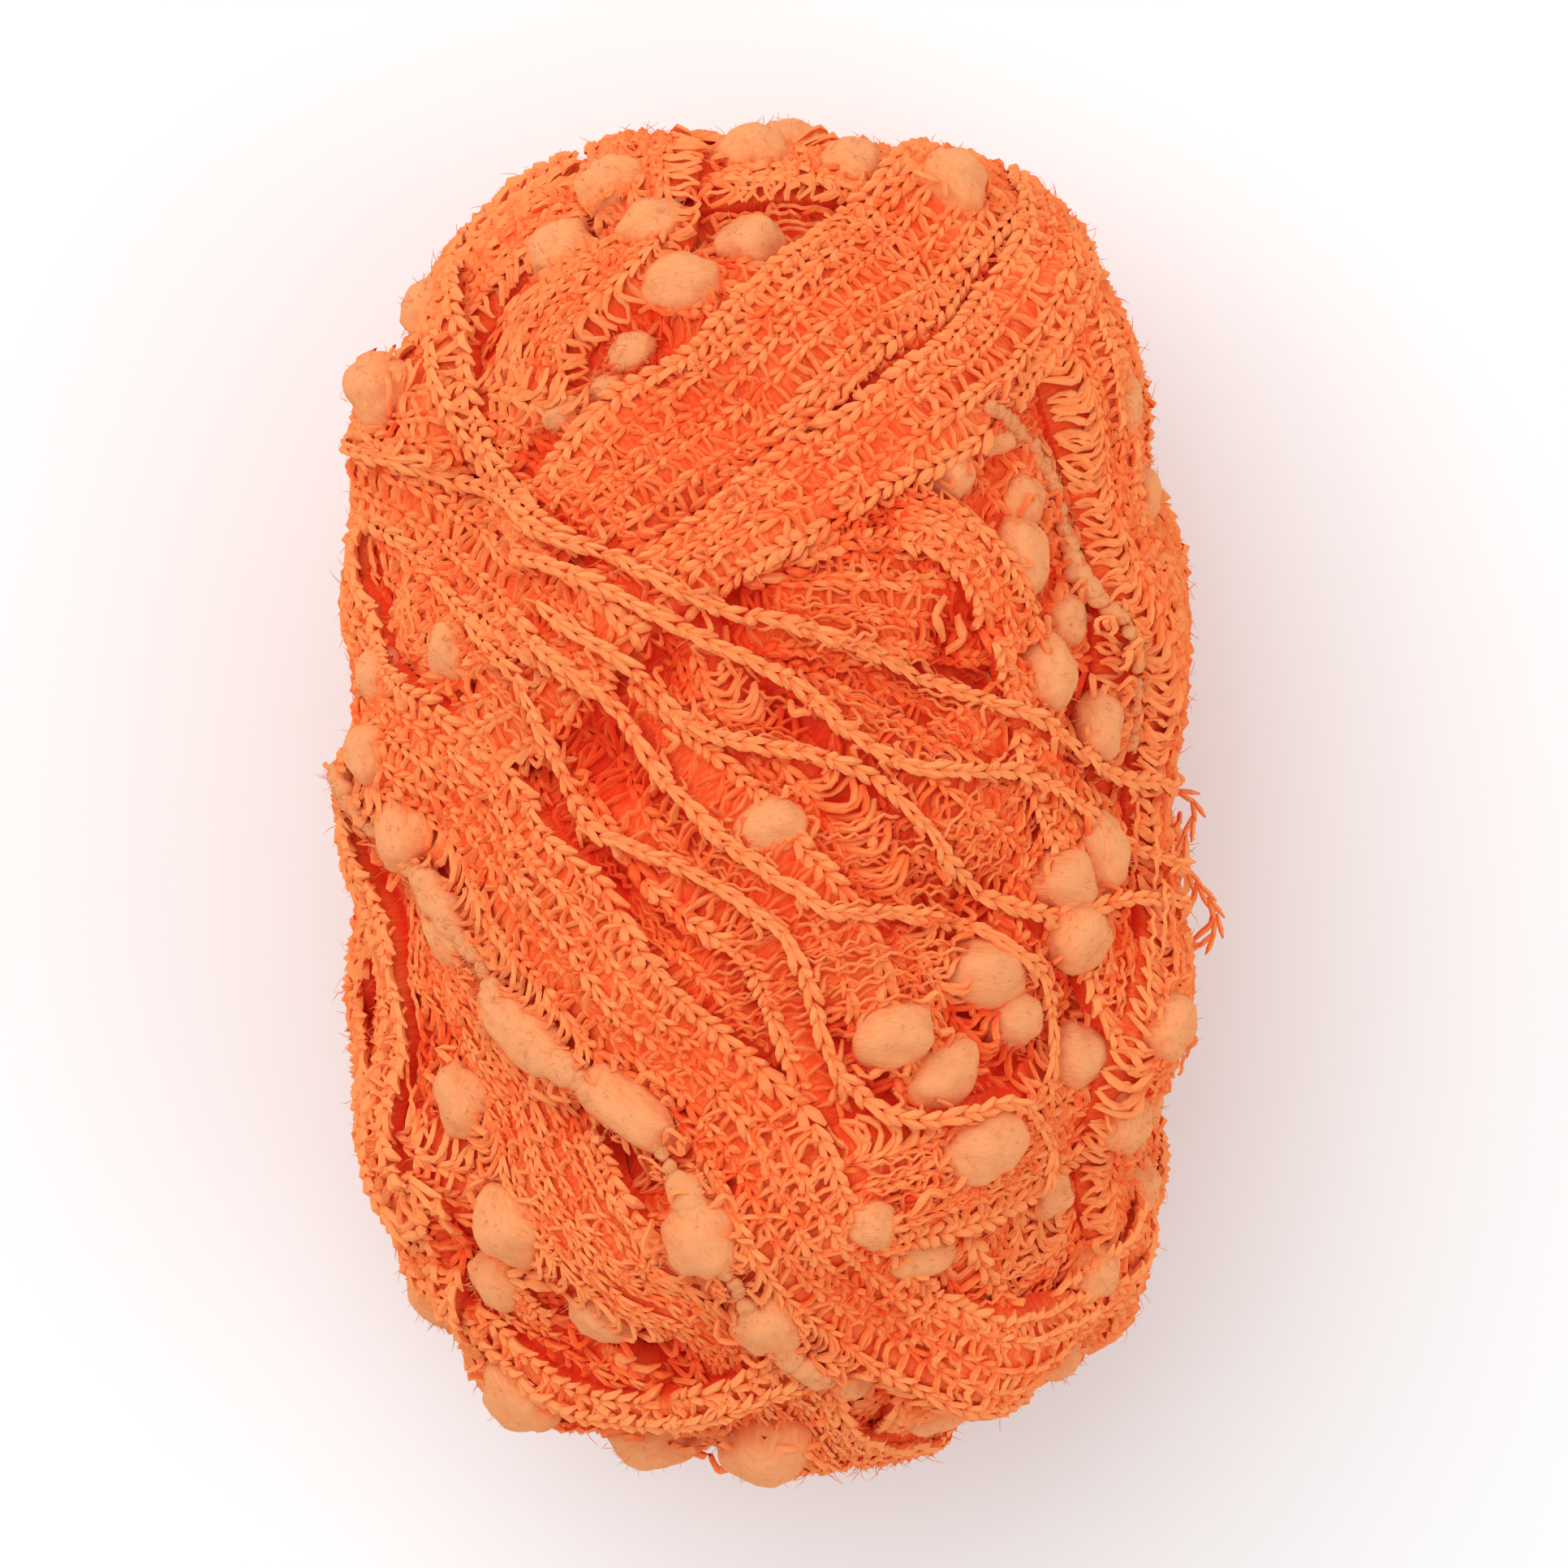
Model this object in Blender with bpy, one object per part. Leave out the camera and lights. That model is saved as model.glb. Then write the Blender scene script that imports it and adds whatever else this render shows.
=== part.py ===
"""A wound ball of pompom yarn: one knitted mesh ribbon, with felted pompoms along one edge.

Metres, +Z up. The ball lies on its side with its long axis along Y, so the face that shows best looks up.
The origin is on the surface it lies on, under the middle of the whole ball.
"""

import math
from typing import NamedTuple

import bmesh
import bpy
import numpy as np
from mathutils import Matrix, Vector

MM = 0.001

# Driving sizes. The form is the mean outside of the windings, without the pompoms that stand out from it.
FORM_WIDTH = 0.1030
FORM_LENGTH = 0.1640
FORM_HEIGHT = 0.0975
SHOULDER = 3.3  # how square the ends are: 2 is an ellipse
FLAT_SPOT_DEPTH = 0.0030  # how far the ball settles under its own weight
SETTLE_REACH = 0.016  # piled windings press in until their mean over this reach is level
POMPOM_RADIUS = 0.0048
POMPOM_PITCH = 0.0165  # along the ribbon's edge
POMPOM_SUNK = 0.0010  # how far a pompom's middle lies below the winding that carries it
LOOP_DIAMETER = 0.0016
ROUTE_STEPS = 360
MIDDLE_HEIGHT = FORM_HEIGHT / 2 - FLAT_SPOT_DEPTH
BOX_MIDDLE = Vector((0.00210, 0.00108, 0.0))  # the box's middle, seen from the form's own middle

BALL_TRIANGLES = 11200
BALL_SEGMENTS = 7  # icosphere steps, about 1.2 mm between points before the mesh is thinned
EDGE_ROUNDINGS = 2  # smoothing steps that round the windings' edges

ORANGE = (0.93, 0.23, 0.055, 1.0)


class Winding(NamedTuple):
    """One turn of the ribbon. A station is (x, y, width) in mm from the form's middle, seen from above."""

    name: str
    rise: float  # how far it stands above what it lies on, in mm
    pompom_side: int  # 1 where the right edge of its course carries pompoms, -1 the left, 0 for none that shows
    upper: tuple  # stations over the upper face, in order
    under: tuple = ()  # stations back round the underside, or none for a turn that ends under others


WINDINGS = (
    Winding("end_to_end_right", 2.6, 1,
            ((34, 70, 16), (43, 42, 18), (46, 10, 18), (46, -25, 18), (36, -62, 16), (12, -79, 14)),
            ((-22, -74, 16), (-40, -40, 18), (-44, 5, 18), (-36, 45, 18), (-8, 77, 14))),
    Winding("end_to_end_left", 2.6, 1,
            ((-30, 72, 16), (-44, 46, 18), (-48, 12, 18), (-47, -28, 18), (-36, -62, 16), (-6, -80, 14)),
            ((26, -72, 16), (42, -36, 18), (45, 8, 18), (34, 52, 18), (6, 78, 14))),
    Winding("over_the_top", 3.0, 1,
            ((-46, 40, 13), (-34, 66, 12), (-12, 77, 12), (12, 77, 12), (32, 70, 12), (47, 40, 14)),
            ((44, -12, 18), (22, -50, 20), (-14, -58, 20), (-42, -20, 18))),
    Winding("upper_left_steep", 2.8, -1,
            ((-14, 72, 13), (-28, 54, 14), (-26, 36, 14), (-10, 14, 16), (6, -8, 18), (18, -26, 18),
             (30, -50, 16), (24, -72, 14)),
            ((2, -74, 16), (-26, -42, 18), (-30, 10, 18), (-16, 60, 16))),
    Winding("middle_steep", 2.4, 0,
            ((-44, 20, 14), (-26, 12, 16), (-12, 0, 16), (4, -18, 16), (10, -36, 14), (20, -58, 14), (30, -72, 14)),
            ((40, -40, 16), (30, 0, 18), (0, 30, 18), (-34, 34, 16))),
    Winding("lower_right_rising", 2.8, -1,
            ((-49, -38, 16), (-24, -52, 16), (4, -50, 17), (24, -44, 17), (43, -34, 16)),
            ((46, 6, 18), (24, 40, 20), (-10, 52, 20), (-40, 16, 18))),
    Winding("right_shoulder", 2.4, -1,
            ((-34, 46, 14), (-8, 34, 14), (12, 35, 9), (24, 31, 9), (31, 20, 9), (38, 0, 12), (45, -26, 14)),
            ((36, -58, 16), (0, -62, 18), (-32, -30, 18), (-46, 20, 16))),
    Winding("right_side", 2.8, -1,
            ((20, 75, 12), (33, 64, 13), (39, 48, 15), (43.5, 32, 16), (47, 14, 15), (48, -8, 13), (44, -44, 14)),
            ((22, -72, 16), (-14, -66, 16), (-38, -12, 18), (-26, 52, 18))),
    Winding("broad_upper", 2.6, 0,
            ((31, 76, 16), (22, 71.5, 17), (14.4, 64.2, 20), (4.9, 55, 20.2), (-5.7, 46.1, 20.2), (-20.2, 35.4, 17.5),
             (-32, 26, 15), (-48, 14, 15)),
            ((-44, -22, 18), (-20, -48, 20), (12, -40, 20), (40, 6, 20), (44, 52, 18))),
    Winding("broad_lower", 2.6, 0,
            ((34.5, 74, 12), (33, 65, 12), (30.2, 58, 13.6), (23.6, 51.4, 13.2), (13.1, 43, 11.2), (2.7, 35, 10),
             (-10.5, 27.4, 10), (-20, 21.5, 11), (-33, 13, 12), (-50, -3, 13)),
            ((-36, -46, 16), (-2, -64, 18), (30, -34, 20), (40, 30, 18), (38, 66, 14))),
    Winding("lower_left_wide", 2.8, 1,
            ((-50, -6, 17), (-43, -20, 18), (-36, -34, 18), (-27, -47, 19), (-18, -59, 18), (-6, -71, 17)),
            ((26, -70, 16), (44, -26, 18), (34, 26, 20), (0, 50, 20), (-40, 30, 18))),
    Winding("bottom_arc", 2.4, 1,
            ((-50, -38, 6), (-45, -53, 5), (-34.5, -65.5, 5), (-24.5, -73, 5), (-14.5, -75, 5), (-4.5, -73.5, 5),
             (8, -70, 6), (24, -71, 7), (40, -62, 8)),
            ((49, -22, 12), (26, 18, 16), (-16, 10, 18), (-46, -16, 12))),
    Winding("left_narrow", 2.2, 0,
            ((-44, 58, 6), (-50, 20, 6), (-50, -6, 6), (-48, -18, 6.5), (-46.4, -27, 7), (-46.2, -35, 7),
             (-45, -43, 6.5), (-42, -50, 6), (-39, -55, 6)),
            ((-4, -74, 12), (34, -40, 16), (28, 30, 16), (-10, 72, 12))),
    Winding("great_diagonal", 3.2, 1,
            ((-51, 21, 16), (-47.4, 8.6, 18), (-37.5, -4.6, 20.8), (-29.2, -15.1, 20.2), (-20, -26.2, 19.8),
             (-11.4, -34.3, 17.8), (-3.2, -42.9, 18.4), (2, -53, 16.8), (7.2, -61, 16), (17, -68, 15),
             (32, -68.5, 14), (45, -60, 15)),
            ((46, -34, 16), (34, 6, 18), (4, 36, 20), (-30, 42, 18))),
    Winding("left_collar", 2.2, 0,
            ((-24, 78, 7), (-38, 67, 6), (-38.5, 53, 6), (-36.5, 43.5, 6), (-32.5, 35, 6), (-24, 28, 6))),
    Winding("net_lower", 1.8, 0,
            ((-51, 32, 5), (-38, 26, 5), (-26, 21, 5), (-16, 14, 4.5), (-13, 4, 4), (-4.5, -6, 4), (2.5, -10, 4),
             (9.5, -14.5, 4), (24, -15, 4), (31, -18, 5), (46, -21, 5))),
    Winding("net_turning", 1.8, 0,
            ((-7, 19, 4), (1, 12.5, 4), (10, 4, 4), (17, -0.5, 4), (21, -6, 4), (27, -12.5, 4), (36, -19, 4),
             (36, -27, 4), (30, -37, 4), (21, -38.5, 4), (12.5, -37, 4), (6, -26, 4), (1, -12, 4))),
    Winding("net_middle", 1.8, 0,
            ((-51, 41, 5), (-47, 35.5, 5), (-37, 27, 5), (-26, 21, 5), (-19, 14, 4), (-13, 10, 4), (-4.5, 7.5, 4),
             (7, 5, 4), (21, 3.5, 4), (31, 3.5, 4), (42, -4.5, 5), (49, -9, 5))),
    Winding("net_upper", 2.0, 0,
            ((-52, 45, 7), (-41, 38, 7), (-33, 32.5, 6), (-19, 25.5, 6), (-7.5, 21, 6), (4, 19.5, 5), (15.5, 17, 5),
             (24, 13, 5), (32.5, 9.5, 5), (45, 2, 5), (51, 0.5, 5)),
            ((46, -24, 16), (20, -14, 18), (-16, 12, 18), (-46, 40, 12))),
)

# Pompoms that lie on top of the upper face: x, y, half length, half width in mm, and the turn of the length in degrees.
UPPER_POMPOMS = (
    (-1.7, 79.4, 5.0, 4.8, 0), (10.4, 78.4, 4.6, 4.4, 0), (21.8, 74.0, 4.8, 4.4, 140), (-19.0, 74.5, 4.4, 4.0, 0),
    (-38.0, 70.2, 4.2, 4.0, 40), (-43.7, 61.0, 4.6, 4.2, 60), (-44.6, 49.0, 5.2, 4.8, 90),
    (-26.6, 68.0, 4.6, 4.0, 0), (-14.8, 70.8, 4.8, 3.8, 20), (-2.6, 69.5, 4.4, 4.2, 0), (-11.0, 62.4, 5.2, 4.2, 0),
    (-21.3, 50.2, 3.5, 2.6, 35), (-17.6, 54.4, 3.2, 2.4, 35), (-25.6, 46.6, 2.8, 1.8, 35), (28.0, 44.0, 3.8, 2.7, 0),
    (22.8, 39.2, 4.2, 3.7, 60), (32.6, 36.2, 3.7, 3.2, 90), (31.5, 28.7, 5.7, 3.7, 95),
    (35.0, 14.8, 5.0, 3.7, 100), (41.5, 8.6, 4.4, 3.4, 100), (37.6, 21.3, 3.7, 2.9, 100),
    (43.2, 49.0, 5.0, 3.6, 110), (47.2, 37.6, 4.8, 3.8, 95), (49.0, 25.4, 3.9, 2.8, 90),
    (41.8, -7.4, 5.4, 4.2, 100), (38.6, -17.0, 5.0, 4.4, 60), (37.2, -10.6, 4.6, 4.2, 0),
    (-41.0, 18.4, 4.6, 3.6, 90), (-0.4, -3.8, 4.8, 3.8, 10),
    (-47.8, 14.6, 4.2, 3.8, 90), (-47.4, 5.0, 4.6, 4.2, 90), (-45.8, -5.0, 5.0, 4.6, 130),
    (-41.0, -17.4, 6.2, 4.4, 145), (-32.0, -29.2, 6.6, 3.8, 150), (-20.2, -39.2, 6.8, 4.0, 145),
    (-8.0, -53.0, 5.2, 4.6, 130), (-0.4, -64.2, 4.8, 4.2, 135), (9.8, -75.2, 5.0, 4.4, 150),
    (-38.8, -37.4, 5.0, 4.2, 120), (-31.4, -52.8, 5.4, 4.6, 140), (-34.6, -60.0, 4.4, 4.0, 140),
    (-21.6, -64.6, 4.6, 4.0, 160), (-42.0, -62.4, 4.8, 4.0, 120), (-30.2, -73.4, 5.4, 4.8, 150),
    (-15.2, -80.4, 6.0, 4.8, 175), (-0.4, -79.6, 6.0, 5.0, 5), (21.2, -78.4, 4.4, 4.0, 0), (29.0, -75.6, 4.4, 4.0, 30),
    (35.8, -69.6, 4.2, 3.8, 45),
    (15.4, -28.8, 5.4, 4.6, 10), (21.0, -34.0, 5.4, 4.2, 30), (27.6, -21.8, 6.2, 4.2, 0), (31.4, -27.6, 4.8, 3.8, 0),
    (39.6, -32.2, 4.8, 4.2, 170), (45.2, -28.0, 4.4, 4.2, 90), (25.4, -42.4, 5.6, 4.6, 10),
    (43.8, -40.2, 4.6, 4.0, 110), (37.4, -50.2, 4.0, 3.6, 0), (18.8, -56.4, 5.0, 3.6, 0), (11.8, -51.6, 3.6, 3.2, 0),
    (50.6, -39.6, 4.4, 3.6, 90), (51.6, -28.6, 4.0, 3.6, 90), (47.6, -49.6, 4.2, 3.6, 90), (40.2, -59.4, 4.0, 3.4, 50),
)

# The pulled-out loop of edge chain at the ball's side: x and y in mm, at about the height of the form's middle.
LOOP_ROUTE = (
    (47.0, 0.0), (50.8, 0.5), (53.2, -0.9), (53.1, -3.2), (52.0, -6.0), (52.2, -8.8), (53.8, -11.2),
    (55.6, -13.9), (56.2, -16.6), (54.6, -18.8), (51.6, -18.9), (47.0, -18.6),
)
LOOP_HEIGHT = 2.0


def form_point(x, y, face):
    """The point of the form, from its middle, at x and y in metres. face is 1 for the upper half and -1 for the lower."""
    free = max(0.0, 1 - abs(y / (FORM_LENGTH / 2)) ** SHOULDER) ** (2 / SHOULDER)
    deep = max(0.0, free - (x / (FORM_WIDTH / 2)) ** 2)
    return Vector((x, y, face * FORM_HEIGHT / 2 * math.sqrt(deep)))


def form_radius(rays):
    """How far the form reaches from its middle along each unit ray."""
    round_share = (rays[:, 0] / (FORM_WIDTH / 2)) ** 2 + (rays[:, 2] / (FORM_HEIGHT / 2)) ** 2
    end_share = np.abs(rays[:, 1] / (FORM_LENGTH / 2)) ** SHOULDER
    return (round_share ** (SHOULDER / 2) + end_share) ** (-1 / SHOULDER)


def unit(rows):
    return rows / np.linalg.norm(rows, axis=1, keepdims=True)


def smooth_line(stations, steps, closed):
    """Points read from a Catmull-Rom curve through the stations, evenly shared between them."""
    stations = np.asarray(stations, float)
    count = len(stations)
    spans = count if closed else count - 1
    at = np.arange(steps) * spans / steps if closed else np.linspace(0, spans, steps)
    first = np.minimum(at.astype(int), spans - 1)
    part = (at - first)[:, None]

    def station(shift):
        index = first + shift
        return stations[index % count] if closed else stations[np.clip(index, 0, count - 1)]

    before, start, end, after = (station(shift) for shift in (-1, 0, 1, 2))
    return 0.5 * (2 * start + (end - before) * part
                  + (2 * before - 5 * start + 4 * end - after) * part ** 2
                  + (3 * start - before - 3 * end + after) * part ** 3)


def route(winding):
    """(points on the form, sideways unit vectors, half widths) along a winding's middle line."""
    rows = [(*form_point(x * MM, y * MM, 1), width * MM) for x, y, width in winding.upper]
    rows += [(*form_point(x * MM, y * MM, -1), width * MM) for x, y, width in winding.under]
    line = smooth_line(rows, ROUTE_STEPS, bool(winding.under))
    rays = unit(line[:, :3])
    points = rays * form_radius(rays)[:, None]
    if winding.under:
        ahead = np.roll(points, -1, axis=0) - np.roll(points, 1, axis=0)
    else:
        ahead = np.gradient(points, axis=0)
    sideways = unit(np.cross(ahead, rays))
    return points, sideways, line[:, 3] / 2


def run_average(values, closed, reach=9):
    """Each value averaged with its neighbours along the route, as a taut ribbon bridges what it lies on."""
    mode = "wrap" if closed else "edge"
    padded = np.pad(values, reach, mode=mode)
    return np.convolve(padded, np.ones(2 * reach + 1) / (2 * reach + 1), mode="valid")


def lay_winding(form, lay, winding):
    """Raises lay, the height of each point above the core, where the winding runs."""
    points, sideways, half = route(winding)
    near = np.empty(len(form), int)
    for start in range(0, len(form), 4096):
        block = form[start:start + 4096]
        near[start:start + 4096] = ((block[:, None, :] - points[None]) ** 2).sum(axis=2).argmin(axis=1)
    gap = form - points[near]
    aside = (gap * sideways[near]).sum(axis=1)
    lengthways = np.linalg.norm(gap - aside[:, None] * sideways[near], axis=1)
    share = np.abs(aside) / half[near]
    inside = (share < 1) & (lengthways < 0.004)
    count = np.bincount(near[inside], minlength=ROUTE_STEPS)
    under = np.bincount(near[inside], weights=lay[inside], minlength=ROUTE_STEPS) / np.maximum(count, 1)
    known = count > 0
    under = np.interp(np.arange(ROUTE_STEPS), np.flatnonzero(known), under[known])
    under = run_average(under, bool(winding.under))
    crown = np.sqrt(np.clip(1 - share ** 4, 0, 1))
    top = under[near] + winding.rise * MM * crown
    lay[inside] = np.maximum(lay[inside], top[inside])


def edge_pompoms():
    """Pompoms along the ribbon's edge where the upper face doesn't show them: centre, length direction, half sizes."""
    found = []
    for winding in WINDINGS:
        if not winding.pompom_side:
            continue
        points, sideways, half = route(winding)
        edge = points + sideways * (winding.pompom_side * half)[:, None]
        run = np.concatenate([[0], np.cumsum(np.linalg.norm(np.diff(edge, axis=0), axis=1))])
        for number in range(int(run[-1] / POMPOM_PITCH)):
            index = int(np.searchsorted(run, (number + 0.5) * POMPOM_PITCH))
            middle = edge[index]
            steep_side = middle[2] > -0.1 * FORM_HEIGHT
            near_other = any((Vector(middle) - other[0]).length < 2.2 * POMPOM_RADIUS for other in found)
            if steep_side or near_other:
                continue
            along = Vector(edge[(index + 1) % ROUTE_STEPS] - edge[index - 1]).normalized()
            size = POMPOM_RADIUS * (1 + 0.09 * math.sin(5.0 * number + len(found)))
            found.append((Vector(middle), along, size * 1.1, size))
    return found


def upper_pompoms():
    """The pompoms of the upper face: centre on the form, length direction, half sizes."""
    found = []
    for x, y, half_length, half_width, turn in UPPER_POMPOMS:
        middle = form_point(x * MM, y * MM, 1)
        angle = math.radians(turn)
        along = Vector((math.cos(angle), math.sin(angle), 0))
        outward = middle.normalized()
        along = (along - outward * along.dot(outward)).normalized()
        found.append((middle, along, half_length * MM, half_width * MM))
    return found


def settled(form, lay):
    """The lay measured from its own mean nearby, as the winder's tension presses every pile back into the form."""
    spread = form[::37]
    spread_lay = lay[::37]
    mean = np.empty(len(form))
    for start in range(0, len(form), 4096):
        block = form[start:start + 4096]
        apart = ((block[:, None, :] - spread[None]) ** 2).sum(axis=2)
        weight = np.exp(-apart / SETTLE_REACH ** 2)
        mean[start:start + 4096] = (weight @ spread_lay) / weight.sum(axis=1)
    return lay - mean


def raise_pompom(rays, reach, pompom):
    """Lifts the points over a pompom onto its rounded top. reach is how far each point lies out along its ray."""
    middle, along, half_length, half_width = pompom
    outward = np.array(middle.normalized())
    along = np.array(along)
    gap = rays * reach[:, None]
    depth = gap @ outward
    gap -= depth[:, None] * outward
    gap -= np.array(middle) - middle.length * outward
    lengthways = gap @ along
    crossways = np.linalg.norm(gap - lengthways[:, None] * along, axis=1)
    share = (lengthways / half_length) ** 2 + (crossways / half_width) ** 2
    inside = (share < 1) & (depth > 0)
    if not inside.any():
        return
    ground = np.median(depth[inside])
    top = ground - POMPOM_SUNK + half_width * np.sqrt(1 - share[inside])
    reach[inside] += np.maximum(top - depth[inside], 0)


def material(name, colour, roughness):
    made = bpy.data.materials.new(name)
    made.use_nodes = True
    shader = made.node_tree.nodes["Principled BSDF"]
    shader.inputs["Base Color"].default_value = colour
    shader.inputs["Roughness"].default_value = roughness
    shader.inputs["Metallic"].default_value = 0.0
    made.diffuse_color = colour
    return made


def loop_mesh():
    """The pulled-out loop, as a closed mesh whose two ends are sunk in the ball."""
    rows = [(x * MM, y * MM, LOOP_HEIGHT * MM + MIDDLE_HEIGHT) for x, y in LOOP_ROUTE]
    line = smooth_line(rows, 34, False) - np.array(BOX_MIDDLE)
    curve = bpy.data.curves.new("loop_route", "CURVE")
    curve.dimensions = "3D"
    curve.bevel_depth = LOOP_DIAMETER / 2
    curve.bevel_resolution = 2
    curve.use_fill_caps = True
    spline = curve.splines.new("POLY")
    spline.points.add(len(line) - 1)
    for point, place in zip(spline.points, line):
        point.co = (*place, 1)
    route_object = bpy.data.objects.new("loop_route", curve)
    bpy.context.scene.collection.objects.link(route_object)
    seen = route_object.evaluated_get(bpy.context.evaluated_depsgraph_get())
    mesh = bpy.data.meshes.new_from_object(seen)
    bpy.data.objects.remove(route_object)
    shaped = bmesh.new()
    shaped.from_mesh(mesh)
    bmesh.ops.remove_doubles(shaped, verts=shaped.verts, dist=1e-6)
    bmesh.ops.recalc_face_normals(shaped, faces=shaped.faces)
    shaped.to_mesh(mesh)
    shaped.free()
    return mesh


def surface_mesh():
    """The block of space under the ball, which presses its flat spot."""
    shaped = bmesh.new()
    down = Matrix.Translation((0, 0, -FORM_LENGTH / 2))
    bmesh.ops.create_cube(shaped, size=FORM_LENGTH, matrix=down)
    mesh = bpy.data.meshes.new("surface_under_the_ball")
    shaped.to_mesh(mesh)
    shaped.free()
    return mesh


def ball_mesh():
    """The wound form with its windings and pompoms raised on it, flat where it lies."""
    shaped = bmesh.new()
    bmesh.ops.create_icosphere(shaped, subdivisions=BALL_SEGMENTS, radius=1.0)
    rays = unit(np.array([vertex.co for vertex in shaped.verts]))
    reach = form_radius(rays)
    form = rays * reach[:, None]
    lay = np.zeros(len(rays))
    for winding in WINDINGS:
        lay_winding(form, lay, winding)
    points = rays * (reach + settled(form, lay))[:, None]
    for vertex, place in zip(shaped.verts, points):
        vertex.co = place
    for _ in range(EDGE_ROUNDINGS):
        bmesh.ops.smooth_vert(shaped, verts=shaped.verts, factor=0.5,
                              use_axis_x=True, use_axis_y=True, use_axis_z=True)
    points = np.array([vertex.co for vertex in shaped.verts])
    rays = unit(points)
    reach = np.linalg.norm(points, axis=1)
    for pompom in edge_pompoms() + upper_pompoms():
        raise_pompom(rays, reach, pompom)
    points = rays * reach[:, None]
    points += np.array((0, 0, MIDDLE_HEIGHT)) - np.array(BOX_MIDDLE)
    for vertex, place in zip(shaped.verts, points):
        vertex.co = place
    mesh = bpy.data.meshes.new("yarn_ball")
    shaped.to_mesh(mesh)
    shaped.free()
    mesh.shade_smooth()
    return mesh


def build():
    for old in list(bpy.data.objects):
        bpy.data.objects.remove(old)
    parts = bpy.data.collections.new("pompom yarn ball")
    helpers = bpy.data.collections.new("shapes joined and cut")
    bpy.context.scene.collection.children.link(parts)
    bpy.context.scene.collection.children.link(helpers)

    loop = bpy.data.objects.new("loose_loop_shape", loop_mesh())
    surface = bpy.data.objects.new("surface_under_the_ball", surface_mesh())
    for helper in (loop, surface):
        helper.hide_render = True
        helper.display_type = "WIRE"
        helpers.objects.link(helper)

    ball = bpy.data.objects.new("yarn_ball", ball_mesh())
    parts.objects.link(ball)
    ball.data.materials.append(material("orange yarn", ORANGE, 0.9))
    thin = ball.modifiers.new("thin", "DECIMATE")
    thin.ratio = BALL_TRIANGLES / len(ball.data.polygons)
    join = ball.modifiers.new("loose loop", "BOOLEAN")
    join.operation = "UNION"
    join.object = loop
    flatten = ball.modifiers.new("flat spot", "BOOLEAN")
    flatten.operation = "DIFFERENCE"
    flatten.object = surface


build()
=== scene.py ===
"""The looks of a ball of pompom yarn: one knitted mesh ribbon, wound to a barrel, with felted pompoms.

Metres, +Z up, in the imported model's frame. The ball lies on its side and the camera looks straight down
at it.
"""

import math
from typing import NamedTuple

import bmesh
import bpy
import numpy as np
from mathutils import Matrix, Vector, noise


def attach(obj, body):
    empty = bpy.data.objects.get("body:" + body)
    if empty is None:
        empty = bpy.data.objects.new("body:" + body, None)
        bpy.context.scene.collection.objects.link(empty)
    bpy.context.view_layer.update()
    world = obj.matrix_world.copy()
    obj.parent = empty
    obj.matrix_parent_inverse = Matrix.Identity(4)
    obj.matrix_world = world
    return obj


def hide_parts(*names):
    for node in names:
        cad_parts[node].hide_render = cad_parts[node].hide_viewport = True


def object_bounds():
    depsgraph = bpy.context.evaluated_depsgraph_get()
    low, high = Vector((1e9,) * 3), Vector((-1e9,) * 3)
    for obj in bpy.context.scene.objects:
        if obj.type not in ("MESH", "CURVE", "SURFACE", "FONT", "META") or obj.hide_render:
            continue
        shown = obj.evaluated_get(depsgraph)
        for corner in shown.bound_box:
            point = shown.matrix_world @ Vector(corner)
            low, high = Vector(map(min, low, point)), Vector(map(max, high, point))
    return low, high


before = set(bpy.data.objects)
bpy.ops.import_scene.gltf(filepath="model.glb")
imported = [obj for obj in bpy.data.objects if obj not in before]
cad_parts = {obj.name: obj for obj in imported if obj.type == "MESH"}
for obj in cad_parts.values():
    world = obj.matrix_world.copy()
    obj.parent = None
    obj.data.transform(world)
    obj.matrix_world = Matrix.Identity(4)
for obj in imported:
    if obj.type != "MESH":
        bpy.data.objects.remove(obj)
cad_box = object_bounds()

# The camera stands straight over the face that shows best, which is the photograph's angle to it, and far
# enough away to keep the ball's outline true.
CAMERA_DISTANCE = 1.05
BALL_SHARE = 0.865  # the ball's length over the picture's height
SENSOR_WIDTH = 36

box_low, box_high = (Vector(corner) for corner in cad_box)
box_middle = (box_low + box_high) / 2
ball_length = box_high.y - box_low.y

camera_data = bpy.data.cameras.new("camera")
camera_data.sensor_width = SENSOR_WIDTH
camera_data.lens = SENSOR_WIDTH * CAMERA_DISTANCE * BALL_SHARE / ball_length
camera_data.clip_start = 0.01
camera = bpy.data.objects.new("camera", camera_data)
camera.location = box_middle + Vector((0, 0, CAMERA_DISTANCE))
bpy.context.scene.collection.objects.link(camera)
bpy.context.scene.camera = camera

# The light is a studio's: a wide soft panel from the upper left, a weaker one from the right, and white
# walls all round. Plain display colours keep the orange as strong as the yarn's own.
PANELS = (
    # name, place, side, watts
    ("key_panel", (-0.45, 0.50, 0.95), 1.30, 8.0),
    ("fill_panel", (0.80, -0.30, 0.70), 1.00, 2.5),
)


def light_panel(name, place, side, watts):
    panel_data = bpy.data.lights.new(name, "AREA")
    panel_data.size = side
    panel_data.energy = watts
    panel = bpy.data.objects.new(name, panel_data)
    panel.location = place
    panel.rotation_euler = (box_middle - Vector(place)).to_track_quat("-Z", "Y").to_euler()
    bpy.context.scene.collection.objects.link(panel)


for panel_row in PANELS:
    light_panel(*panel_row)

walls = bpy.data.worlds.new("white_walls")
walls.use_nodes = True
walls.node_tree.nodes["Background"].inputs["Color"].default_value = (1.0, 1.0, 1.0, 1.0)
walls.node_tree.nodes["Background"].inputs["Strength"].default_value = 0.715
bpy.context.scene.world = walls
bpy.context.scene.view_settings.view_transform = "Standard"
# Light that bounces on between the strands keeps their shade red.
bpy.context.scene.cycles.diffuse_bounces = 8

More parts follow.
